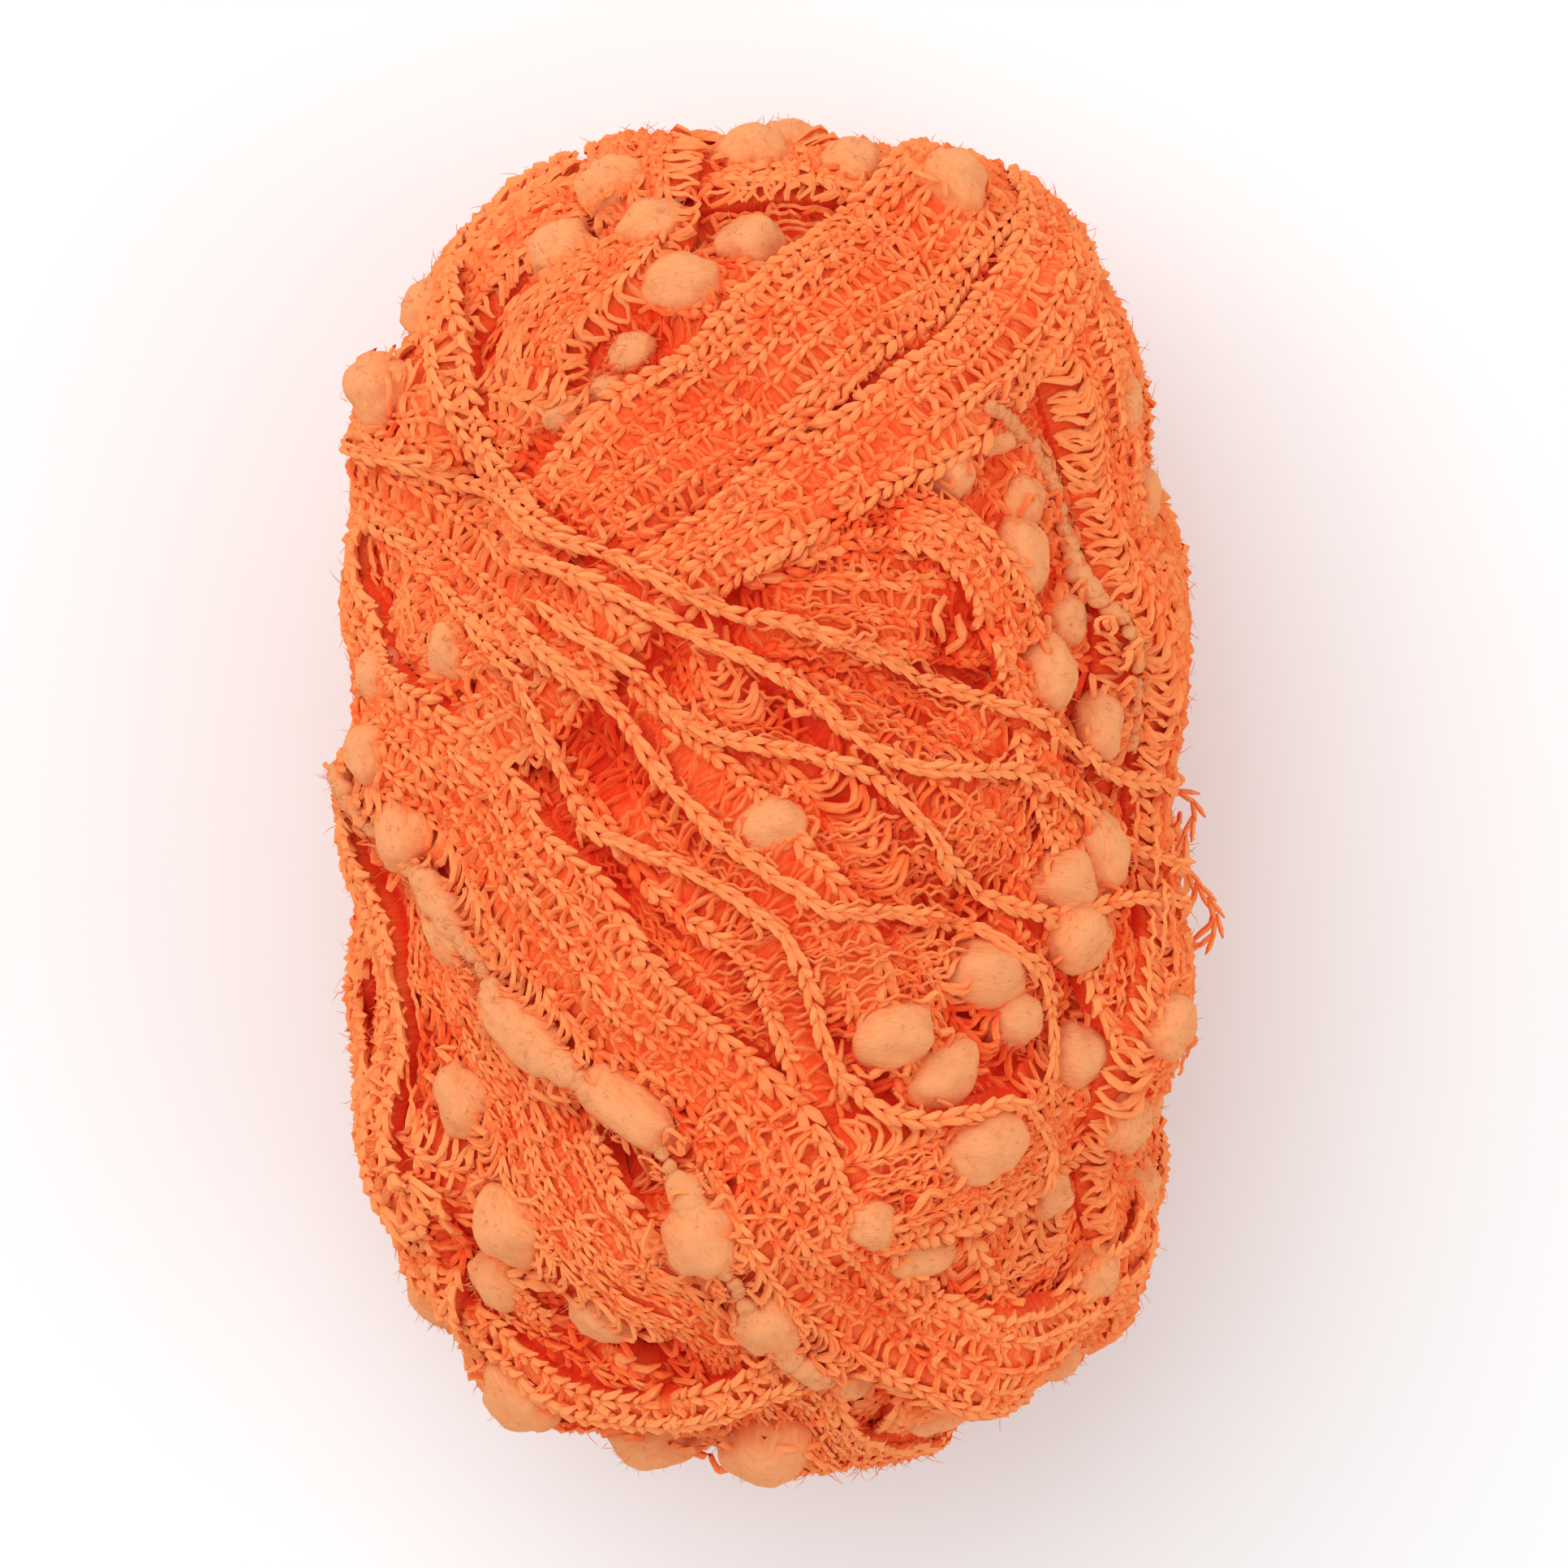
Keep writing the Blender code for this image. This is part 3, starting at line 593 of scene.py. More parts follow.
# Painted light and shade: a strand that stands out is painted lighter, and one in a crease or hollow darker.
RELIEF_SHADE_TONE = 0.22  # how much lighter a strand is for each mm that it stands above what is around it


def painted_relief_shading(points, heights, lowest, highest):
    """Painted light and shade: how much lighter points are for standing out, between two limits in mm."""
    return RELIEF_SHADE_TONE * np.clip(standing(points, heights), lowest, highest)


shaped = bmesh.new()
bmesh.ops.create_icosphere(shaped, subdivisions=INSIDE_STEPS, radius=1.0)
inside_form = onto_form(np.array([vertex.co for vertex in shaped.verts]) * half_form)
inside_top = pile[map_cell(inside_form)]
inside_places = in_place(inside_form, inside_top - INSIDE_DEPTH - hollow_depth(inside_form))
inside_tones = INSIDE_SHADE_TONE + painted_relief_shading(inside_form, inside_top, -2.0, 0.6)
for vertex, inside_place in zip(shaped.verts, inside_places):
    vertex.co = inside_place
for _ in range(INSIDE_SMOOTHINGS):
    bmesh.ops.smooth_vert(shaped, verts=shaped.verts, factor=0.5, use_axis_x=True, use_axis_y=True,
                          use_axis_z=True)
inside_mesh = bpy.data.meshes.new("inner_windings")
shaped.to_mesh(inside_mesh)
shaped.free()
inside_mesh.shade_smooth()
inside_tone = inside_mesh.attributes.new("tone", "FLOAT", "POINT")
inside_tone.data.foreach_set("value", inside_tones.astype(np.float32))
inside_mesh.materials.append(thread)
inside = bpy.data.objects.new("inner_windings", inside_mesh)
bpy.context.scene.collection.objects.link(inside)
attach(inside, "root")
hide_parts("yarn_ball")

# Behind its top strands the ribbon is more of the same knitting, too deep to tell the strands apart. A
# sheet under each turn stands for it. It closes the mesh and turns down at the turn's edges, and its streaks
# run across the turn like drawn threads.
# Painted shade: the sheet has the thread's colours made darker and redder for lying deep, and darker still
# where it turns down at the edges and hangs under the curls.
GROUND_DEEP = (0.80, 0.035, 0.010, 1.0)
GROUND_MIDDLE = (0.88, 0.098, 0.024, 1.0)
GROUND_LIGHT = (0.91, 0.220, 0.062, 1.0)
GROUND_SHADE_TONE = 0.27
GROUND_DEPTH = 0.00085  # under the tops of the wales
GROUND_STEP = 4  # stations of the turn from one row of the sheet to the next
GROUND_LANES = (-1.06, -0.93, -0.62, -0.31, 0.0, 0.31, 0.62, 0.93, 1.06)
GROUND_BURIED = 0.0024  # a sheet this far under the pile's top can't be seen
EDGE_DROP = 0.0014  # how far the sheet turns down past the turn's edges
EDGE_SHADE = 0.28  # how much darker it is there
NARROW_REACH = 0.62  # the sheet's share of the width of a turn with two wales
OPEN_DROP = 0.0008  # how much lower the sheet hangs under the curls
OPEN_REACH = 0.90
OPEN_SHADE = 0.18
OPEN_START = 0.05  # past the last wale
CURL_SIDES = {"right_side": 1}  # over the face this turn lies twisted, with its curls on the inner side
# How far across the turn its wales reach on the curls' side.
USUAL_WALES_END = 0.40
WALES_END = {"right_side": 0.10, "over_the_top": 0.55}

ground = yarn_material("knitted_ground", GROUND_DEEP, GROUND_MIDDLE, GROUND_LIGHT, (1.9, 0.6, 1.0), 1.2,
                       0.0005)


class Stamped(NamedTuple):
    """Part of a piece as arrays: points, triangles, each triangle corner's place in the UV map, and tones."""

    points: np.ndarray
    faces: np.ndarray
    wound: np.ndarray
    tones: np.ndarray


def joined_piece(name, stamped, material, rounded=False):
    """One mesh object from stamped parts, riding on the ball.

    A thread has few faces round it. Smoothed ones would swallow the light that bounces on between the
    strands, so only the felted parts are rounded.
    """
    points = np.concatenate([block.points for block in stamped])
    starts = np.cumsum([0] + [len(block.points) for block in stamped[:-1]])
    faces = np.concatenate([block.faces + start for block, start in zip(stamped, starts)])
    wound = np.concatenate([block.wound for block in stamped])
    shades = np.concatenate([block.tones for block in stamped])
    mesh = bpy.data.meshes.new(name)
    mesh.vertices.add(len(points))
    mesh.vertices.foreach_set("co", points.astype(np.float32).ravel())
    mesh.loops.add(len(faces) * 3)
    mesh.loops.foreach_set("vertex_index", faces.astype(np.int32).ravel())
    mesh.polygons.add(len(faces))
    mesh.polygons.foreach_set("loop_start", np.arange(0, len(faces) * 3, 3, dtype=np.int32))
    mesh.update(calc_edges=True)
    mesh.attributes.new("tone", "FLOAT", "POINT").data.foreach_set("value", shades.astype(np.float32))
    mesh.uv_layers.new(name="wound").data.foreach_set("uv", wound.astype(np.float32).ravel())
    if rounded:
        mesh.shade_smooth()
    else:
        mesh.shade_flat()
    mesh.materials.append(material)
    made = bpy.data.objects.new(name, mesh)
    bpy.context.scene.collection.objects.link(made)
    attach(made, "root")
    return made


def ground_sheet(laid, reach, open_side, wales_end):
    """The sheet under one turn, without the faces that lie buried.

    reach is its share of the turn's width. On the open side it hangs lower past the last wale, where only
    curls are.
    """
    rows = len(laid.line) // GROUND_STEP
    stations = np.arange(rows + 1) * GROUND_STEP
    stations = stations % len(laid.line) if laid.closed else np.minimum(stations, len(laid.line) - 1)
    shaped = bmesh.new()
    bmesh.ops.create_grid(shaped, x_segments=rows, y_segments=len(GROUND_LANES) - 1, size=1.0)
    bmesh.ops.triangulate(shaped, faces=shaped.faces)
    shaped.verts.index_update()
    grid = np.array([vertex.co for vertex in shaped.verts])
    faces = np.array([[vertex.index for vertex in face.verts] for face in shaped.faces])
    shaped.free()
    row = np.rint((grid[:, 0] + 1) / 2 * rows).astype(int)
    lane = np.rint((grid[:, 1] + 1) / 2 * (len(GROUND_LANES) - 1)).astype(int)
    at = stations[row]
    across = np.array(GROUND_LANES)[lane]
    turned_down = np.abs(across) > 1
    opened = open_side * across > wales_end + OPEN_START
    spread = np.where(opened, np.clip(across, -OPEN_REACH, OPEN_REACH), across) * reach * laid.half[at]
    form_places = onto_form(laid.line[at] + spread[:, None] * laid.sideways[at])
    lane_tops = np.stack([lane_heights(laid.heights, min(max(value, -1.0), 1.0)) for value in GROUND_LANES])
    tops = lane_tops[lane, at] - EDGE_DROP * turned_down
    places = in_place(form_places, tops - GROUND_DEPTH - OPEN_DROP * opened - hollow_depth(form_places))
    shown = (tops > pile[map_cell(form_places)] - GROUND_BURIED)[faces].any(axis=1)
    corners = form_places[faces]
    normals = np.cross(corners[:, 1] - corners[:, 0], corners[:, 2] - corners[:, 0])
    if (normals * outward(corners[:, 0])).sum() < 0:
        faces = faces[:, ::-1]
    wound = np.stack([row * GROUND_STEP * STATION_STEP / MM, across * laid.half[at] / MM], axis=1)
    tones = GROUND_SHADE_TONE + painted_relief_shading(form_places, tops, -2.2, 0.8)
    tones -= np.maximum(OPEN_SHADE * opened, EDGE_SHADE * turned_down)
    return Stamped(places, faces[shown], wound[faces[shown]], tones)


sheets = [ground_sheet(laid, 1.0, 0, 1) for laid in inner_laid]
for turn, laid in zip(TURNS, turns_laid):
    curl_side = CURL_SIDES.get(turn.name, turn.pompom_side)
    reach = 1.0 if turn.wales > 2 else NARROW_REACH
    sheets.append(ground_sheet(laid, reach, curl_side, WALES_END.get(turn.name, USUAL_WALES_END)))
joined_piece("ribbon_ground", sheets, ground)

# A knitted strand is modelled once and repeated: a short length of thread, thick in the middle and thin
# where it passes into its neighbours. x runs along the stitch, y across it and z away from the ball.
# Painted light from above: a strand's top is painted lighter than its underside.
PAINTED_TOP_LIGHT = 0.52  # how much lighter a strand's top is than its underside
STREAK_SHIFTS = 40  # each copy's streaks start at a place of their own, up to so far along and around


class Strand(NamedTuple):
    """A small mesh to repeat: points, triangles, and each corner's place along and around the thread."""

    points: np.ndarray
    faces: np.ndarray
    wound: np.ndarray


def strand(stations, sides):
    """A thread through stations (x, y, z, radius) in mm, its first ring extruded from one to the next."""
    shaped = bmesh.new()
    route = [Vector(station[:3]) for station in stations]
    ring = bmesh.ops.create_circle(shaped, segments=sides, radius=1.0)["verts"]
    circle = [vertex.co.copy() for vertex in ring]
    home = {}
    for number, station in enumerate(stations):
        if number:
            edges = list({edge for vertex in ring for edge in vertex.link_edges
                          if edge.other_vert(vertex) in ring})
            grown = bmesh.ops.extrude_edge_only(shaped, edges=edges)["geom"]
            new_ring = [item for item in grown if isinstance(item, bmesh.types.BMVert)]
            ring = [min(new_ring, key=lambda vertex: (vertex.co - corner).length) for corner in placed]
        ahead = route[min(number + 1, len(route) - 1)] - route[max(number - 1, 0)]
        aside = ahead.cross(Vector((0, 0, 1))).normalized()
        upright = aside.cross(ahead).normalized()
        placed = [route[number] + station[3] * (aside * corner.x + upright * corner.y) for corner in circle]
        for corner, vertex in enumerate(ring):
            vertex.co = placed[corner]
            home[vertex] = (route[number].x, corner)
    bmesh.ops.triangulate(shaped, faces=shaped.faces)
    bmesh.ops.recalc_face_normals(shaped, faces=shaped.faces)
    shaped.verts.index_update()
    points = np.array([vertex.co for vertex in shaped.verts]) * MM
    faces = np.array([[vertex.index for vertex in face.verts] for face in shaped.faces])
    wound = np.array([[home[vertex] for vertex in face.verts] for face in shaped.faces])
    seam = wound[:, :, 1].max(axis=1) - wound[:, :, 1].min(axis=1) > sides / 2
    wound[seam, :, 1] += np.where(wound[seam, :, 1] < sides / 2, sides, 0)
    wound[:, :, 1] /= sides
    shaped.free()
    corners = points[faces]
    normals = np.cross(corners[:, 1] - corners[:, 0], corners[:, 2] - corners[:, 0])
    first_middle = np.array((route[0] + route[1]) * MM / 2)
    if (normals[:sides] * (corners.mean(axis=1)[:sides] - first_middle)).sum() < 0:
        faces, wound = faces[:, ::-1], wound[:, ::-1]
    return Strand(points, faces, wound)


def mirrored(template):
    """The same strand for the other side of its course."""
    return Strand(template.points * np.array((1, -1, 1)), template.faces[:, ::-1], template.wound[:, ::-1])


def stamp(template, origins, along, across, up, tones):
    """The template repeated in frames of three scaled directions, each in its tone, with painted light on
    top.
    """
    points, faces, wound = template
    places = (origins[:, None] + points[None, :, 0:1] * along[:, None]
              + points[None, :, 1:2] * across[:, None] + points[None, :, 2:3] * up[:, None])
    places[..., 2] = np.maximum(places[..., 2], LOWEST_STRAND)
    top, bottom = points[:, 2].max(), points[:, 2].min()
    crown = (points[:, 2] - bottom) / max(top - bottom, 1e-9)
    shades = tones[:, None] + PAINTED_TOP_LIGHT * (crown[None] - 0.5)
    corners = faces[None] + (np.arange(len(origins)) * len(points))[:, None, None]
    wound = wound[None] + chance.uniform(0, STREAK_SHIFTS, (len(origins), 1, 1, 2))
    return Stamped(places.reshape(-1, 3), corners.reshape(-1, 3), wound.reshape(-1, 3, 2),
                   shades.reshape(-1))


def stamp_kinds(templates, kind, origins, along, across, up, tones):
    """Copies of several templates, kind being each copy's number among them."""
    blocks = []
    for number, template in enumerate(templates):
        chosen = kind == number
        blocks.append(stamp(template, origins[chosen], along[chosen], across[chosen], up[chosen],
                            tones[chosen]))
    return blocks


# Each wale of the ribbon is a chain of stitches whose two legs lean apart like a V. Between the wales run
# curly rungs of the same thread, from each stitch to the next wale's. The outermost wales are the boldest.
CHAIN_THICKNESS = 0.0010
STITCH_PITCH = 0.0018
RUNG_SPAN = 0.0030
OPEN_SPACING = 0.0030  # wales this far apart have their full width, and closer ones are narrower
DENSE_WIDTH = 0.75  # narrower wales than this lie so close that few rungs show
BURIED = 0.0015  # a stitch this far under the pile's top can't be seen, so it isn't made
FINE_ABOVE = 0.050  # stitches higher than this over the surface show best, and have more faces
EDGE_CHAIN = 1.30  # how much wider a ribbon's outermost chains are
EDGE_CHAIN_LIFT = 0.0004
# Painted highlight: the raised outermost chains are painted lighter.
EDGE_CHAIN_HIGHLIGHT = 0.09

# No stitch is quite like the next, in place, size, lean or tone.
STITCH_UNEVENNESS = 0.14  # in stitches, along the wale
WALE_SWAY = 0.00036
SWAY_STITCHES = 14
STITCH_ASIDE = 0.00016
WALE_RIPPLE = 0.00015
RIPPLE_STITCHES = 8
STITCH_RAISED = 0.00010
STITCH_SIZES = (0.80, 1.20)
STITCH_LENGTHS = (0.9, 1.15)
STITCH_LEAN = 0.20
STITCH_ROLL = 0.16
RUNG_SIZES = (0.8, 1.25)
RUNG_LIFT = 0.2
STRAND_TONE_SPREAD = 0.10
LEG_TONE_SPREAD = 0.05

NARROWEST = 0.70  # of a wale's full width
DENSE_RUNGS = 0.4  # the share of rungs that a dense ribbon shows
SLANTED_RUNGS = 0.50  # the share of stitches with a second rung, slanted and a little darker
SLANTED_SHADE = 0.05
OUTER_WALE = 0.92  # how far out the outermost wales lie, as a share of the half width
PAIRED_WALE = 0.66  # where a turn has only two
INNER_WALES = 5
# The inner turns' chains are painted darker: painted shade of the deep windings.
INNER_RIBBON_SHADE_TONE = 0.42

# A rung arches from below the stitches up between them, and is thickest in its middle.
RUNG_FOOT = 0.34
RUNG_ARCH = 0.60
RUNG_THIN = 0.31
RUNG_SWELLING = 0.16
RUNG_TURNED_BACK = 0.16

LEG_ROUTE = (
    # along, sideways and up in mm, radius in mm
    (-0.45, 0.10, -0.45, 0.20),
    (0.35, 0.32, 0.06, 0.42),
    (1.25, 0.66, 0.14, 0.47),
    (2.10, 0.92, -0.36, 0.18),
)


def rung_route(bow, kink, curl, stations, raised=0.0, thick=1.0):
    """A rung across RUNG_SPAN, raised by so many mm and so many times as thick as usual.

    bow is how far it swings aside in mm, kink how late, and curl how far it turns back.
    """
    route = []
    for number in range(stations):
        share = number / (stations - 1)
        swing = bow * math.sin(math.pi * share ** kink) + curl * math.sin(2 * math.pi * share)
        across = share + RUNG_TURNED_BACK * curl * math.sin(2 * math.pi * share)
        height = raised - RUNG_FOOT + RUNG_ARCH * math.sin(math.pi * share)
        radius = thick * (RUNG_THIN + RUNG_SWELLING * math.sin(math.pi * share))
        route.append((RUNG_SPAN / MM * across, swing, height, radius))
    return route


RUNG_SWINGS = (
    # bow, kink and curl
    (0.2, 1.0, 0.0), (0.6, 0.8, 0.1), (0.9, 1.0, -0.2), (1.2, 0.8, 0.3), (-0.4, 1.2, 0.4),
    (-0.8, 0.9, 0.0), (0.7, 1.6, 0.6), (1.6, 1.2, 0.0), (0.4, 1.0, -0.6),
)
leg_fine = strand(LEG_ROUTE, 4)
leg_plain = strand(LEG_ROUTE[::2] + LEG_ROUTE[3:], 3)
rungs_fine = [strand(rung_route(*swing, 5), 3) for swing in RUNG_SWINGS]
rungs_plain = [strand(rung_route(*swing, 3), 3) for swing in RUNG_SWINGS]
fuzz_roots = []


def wale_places(laid, across, pitch):
    """(places on the form, heights) of one wale's stitches."""
    step = pitch / STATION_STEP
    count = int(len(laid.line) / step)
    jitter = chance.normal(scale=STITCH_UNEVENNESS, size=count)
    at = np.clip(((np.arange(count) + jitter) * step).astype(int), 0, len(laid.line) - 1)
    drift = wander(count, SWAY_STITCHES, WALE_SWAY) + chance.normal(scale=STITCH_ASIDE, size=count)
    shift = across * laid.half[at] + drift
    places = onto_form(laid.line[at] + shift[:, None] * laid.sideways[at])
    ripple = wander(count, RIPPLE_STITCHES, WALE_RIPPLE) + chance.normal(scale=STITCH_RAISED, size=count)
    heights = lane_heights(laid.heights, across)[at] - CHAIN_THICKNESS / 2 + ripple
    return places, heights


def stitches(laid, across, lift=0.0):
    """(places on the form, heights, places in the ball) of one wale's stitches."""
    form_places, heights = wale_places(laid, across, STITCH_PITCH)
    heights = heights + lift
    return form_places, heights, in_place(form_places, heights - hollow_depth(form_places))


def strand_tones(form_places, heights, tone):
    """Tones of strands: painted light where they stand out, painted shade, redder, in the creases."""
    light = painted_relief_shading(form_places, heights + CHAIN_THICKNESS / 2, -2.2, 1.4)
    return tone + light + chance.normal(scale=STRAND_TONE_SPREAD, size=len(heights))


def chain_blocks(form_places, heights, places, closed, width, tone, legs=(leg_fine, leg_plain)):
    """The stamped legs of one chain. Stitches that lie buried are left out."""
    ahead = np.roll(places, -1, axis=0) - places
    if not closed:
        ahead[-1] = ahead[-2]
    up = outward(form_places)
    across = unit(np.cross(up, ahead))
    up = unit(np.cross(ahead, across))
    count = len(places)
    size = width * chance.uniform(*STITCH_SIZES, count)[:, None]
    lean = chance.normal(scale=STITCH_LEAN, size=count)[:, None]
    roll = chance.normal(scale=STITCH_ROLL, size=count)[:, None]
    across_sized = (across + lean * unit(ahead) + roll * up) * size
    up_sized = (up - roll * across) * size
    along = ahead / STITCH_PITCH * chance.uniform(*STITCH_LENGTHS, count)[:, None]
    tones = strand_tones(form_places, heights, tone)
    shown = heights > pile[map_cell(form_places)] - BURIED
    fine = shown & (places[:, 2] > FINE_ABOVE)
    fuzz_roots.append(np.stack([places, unit(ahead), across, up], axis=1)[shown])
    blocks = []
    for chosen, leg in zip((fine, shown & ~fine), legs):
        if chosen.any():
            for template in (leg, mirrored(leg)):
                uneven = chance.normal(scale=LEG_TONE_SPREAD, size=chosen.sum())
                blocks.append(stamp(template, places[chosen], along[chosen], across_sized[chosen],
                                    up_sized[chosen], tones[chosen] + uneven))
    return blocks


def rung_blocks(start, end, form_places, heights, tone, templates_fine, templates_plain):
    """Curly rungs from each start to its end, such as from the stitches of one wale to the next wale's."""
    up = outward(form_places)
    aside = unit(np.cross(end - start, up))
    size = chance.uniform(*RUNG_SIZES, len(start))[:, None]
    lift = chance.normal(scale=RUNG_LIFT, size=len(start))[:, None]
    tones = strand_tones(form_places, heights, tone)
    kind = chance.integers(len(templates_fine), size=len(start))
    shown = heights > pile[map_cell(form_places)] - BURIED
    fine = start[:, 2] > FINE_ABOVE
    blocks = []
    for number in range(len(templates_fine)):
        for well_seen, templates in ((fine, templates_fine), (~fine, templates_plain)):
            chosen = shown & well_seen & (kind == number)
            if chosen.any():
                blocks.append(stamp(templates[number], start[chosen], (end - start)[chosen] / RUNG_SPAN,
                                    ((aside + lift * up) * size)[chosen], (up * size)[chosen], tones[chosen]))
    return blocks


def ribbon_blocks(laid, lanes, tone, bold_lanes=()):
    """(blocks of a turn's wales and rungs, its last wale)."""
    blocks = []
    before = None
    spacing = (lanes[-1] - lanes[0]) * laid.half.mean() / (len(lanes) - 1)
    width = min(max(abs(spacing) / OPEN_SPACING, NARROWEST), 1.0)
    is_open = width > DENSE_WIDTH
    for across in lanes:
        bold = across in bold_lanes
        form_places, heights, places = stitches(laid, across, EDGE_CHAIN_LIFT * bold)
        blocks += chain_blocks(form_places, heights, places, laid.closed, EDGE_CHAIN if bold else width,
                               tone + EDGE_CHAIN_HIGHLIGHT * bold)
        if before is not None:
            between = onto_form(form_places + before[0])
            middle = (heights + before[1]) / 2
            kept = chance.random(len(places)) < (1.0 if is_open else DENSE_RUNGS)
            blocks += rung_blocks(before[2][kept], places[kept], between[kept], middle[kept], tone,
                                  rungs_fine, rungs_plain)
            if is_open:
                doubled = chance.random(len(places)) < SLANTED_RUNGS
                slanted = np.roll(places, -1, axis=0)
                blocks += rung_blocks(before[2][doubled], slanted[doubled], between[doubled],
                                      middle[doubled], tone - SLANTED_SHADE, rungs_fine, rungs_plain)
        before = (form_places, heights, places)
    return blocks, before


def wale_lanes(wales, curl_side, last):
    """Where the wales lie across the ribbon: over all of it, or up to a last place clear of the curls."""
    if curl_side:
        return np.linspace(-OUTER_WALE, last, wales) * curl_side
    return np.linspace(-OUTER_WALE, OUTER_WALE, wales) if wales > 2 else np.array((-PAIRED_WALE, PAIRED_WALE))


for number, laid in enumerate(inner_laid):
    inner_blocks, _ = ribbon_blocks(laid, wale_lanes(INNER_WALES, 0, 0), INNER_RIBBON_SHADE_TONE)
    if inner_blocks:
        joined_piece(f"inner_ribbon_{number + 1}", inner_blocks, thread)

# On its pompom side the ribbon ends in loose curly threads and a fuzzy roving, which carries the pompoms.
# Two stretches of roving lie proud, on courses read from the photograph, and elsewhere only the curls show.
# Some of the other edges are finished with small picots.
CURL_SWINGS = (
    # bow, kink and curl
    (1.2, 0.7, 0.5), (1.7, 1.0, 0.2), (0.9, 0.8, 0.8), (1.5, 1.3, -0.4), (0.7, 1.0, 1.1), (2.1, 0.9, 0.1),
)
COMB_SWINGS = ((1.6, 0.9, 0.2), (2.0, 1.0, 0.1), (1.3, 0.8, 0.4), (2.3, 1.1, -0.2), (0.9, 1.0, 0.6))
COMB_RAISED = 0.22
COMB_SHARE = 0.97
COMB_THICK = 0.84
COMB_TONE = 0.64
COMB_EDGE = 0.95  # where the curls end, as a share of the half width
PICOT_EDGE = 0.96
PICOT_TONE = 0.55
RIBBON_TONE = 0.52
ROVINGS = (
    # name, radius in mm, stations (x, y) in mm
    ("fuzzy_roving", 1.60, (
        (-49.4, 3), (-48.6, -1), (-46.7, -6.5), (-42.5, -11.5), (-39.0, -16.6), (-34.6, -22.0),
        (-32.6, -26.6), (-27.9, -30.8), (-22.9, -34.6), (-18.8, -38.5), (-13.7, -43.0), (-10.0, -48.0),
        (-8.0, -52.5), (-4.6, -57.5), (-1.0, -63.5), (3.6, -69.0), (8.6, -73.5))),
    ("right_roving", 1.00, (
        (26.0, 46.5), (30.0, 45.4), (33.4, 43.4), (36.3, 39.6), (37.6, 34.0), (38.4, 29.0), (39.6, 24.6),
        (41.6, 20.5), (43.2, 15.2), (44.2, 9.4), (44.6, 4.0))),
)
ROVING_PITCH = 0.0017
ROVING_TONE = 0.66
LUMP_LENGTH = 1.15
SWELLING_LUMPS = 4
ROVING_SWELLING = 0.32
THINNEST_ROVING = 0.60
FRAYS_ON_A_LUMP = 3
FRAY_TONE = 0.70
FRAY_REACH = (0.0008, 0.0026)
FRAY_LEAN = 0.0012
FRAY_LIFT = 0.0008
FRAY_SUNK = 0.0006
PICOT_SIDES = {"broad_upper": -1, "broad_lower": -1, "right_side": -1}
PICOT_BOWS = (1.3, 1.7, 2.1)
FELT_LUMPS = 1.2  # to a lump's radius
FELT_LUMP_RISE = 0.20
FELT_BUMPS = 3.2
FELT_BUMP_RISE = 0.08
FELT_STREAKS = 3  # UV lengths to a lump's radius
POMPOM_DEEP = (0.84, 0.115, 0.032, 1.0)
POMPOM_MIDDLE = (0.83, 0.228, 0.076, 1.0)
POMPOM_LIGHT = (0.85, 0.340, 0.138, 1.0)

felt = yarn_material("felted_roving", POMPOM_DEEP, POMPOM_MIDDLE, POMPOM_LIGHT, (1.5, 4.5, 1.0), 1.0, 0.0002)
curls_fine = [strand(rung_route(*swing, 7), 3) for swing in CURL_SWINGS]
curls_plain = [strand(rung_route(*swing, 4), 3) for swing in CURL_SWINGS]
combs_fine = {-1: [strand(rung_route(*swing, 7, COMB_RAISED, COMB_THICK), 3) for swing in COMB_SWINGS]}
combs_plain = {-1: [strand(rung_route(*swing, 4, COMB_RAISED, COMB_THICK), 3) for swing in COMB_SWINGS]}
for combs in (combs_fine, combs_plain):
    combs[1] = [mirrored(comb) for comb in combs[-1]]


def felted_lump(steps, seed):
    """A lumpy felted ball of radius 1 mm."""
    shaped = bmesh.new()
    bmesh.ops.create_icosphere(shaped, subdivisions=steps, radius=1.0)
    for vertex in shaped.verts:
        lump = noise.noise(vertex.co * FELT_LUMPS + Vector((seed, 0, 0))) * FELT_LUMP_RISE
        lump += noise.noise(vertex.co * FELT_BUMPS + Vector((0, seed, 0))) * FELT_BUMP_RISE
        vertex.co *= 1 + lump
    shaped.verts.index_update()
    points = np.array([vertex.co for vertex in shaped.verts]) * MM
    faces = np.array([[vertex.index for vertex in face.verts] for face in shaped.faces])
    shaped.free()
    return Strand(points, faces, points[faces][..., :2] / MM * FELT_STREAKS)


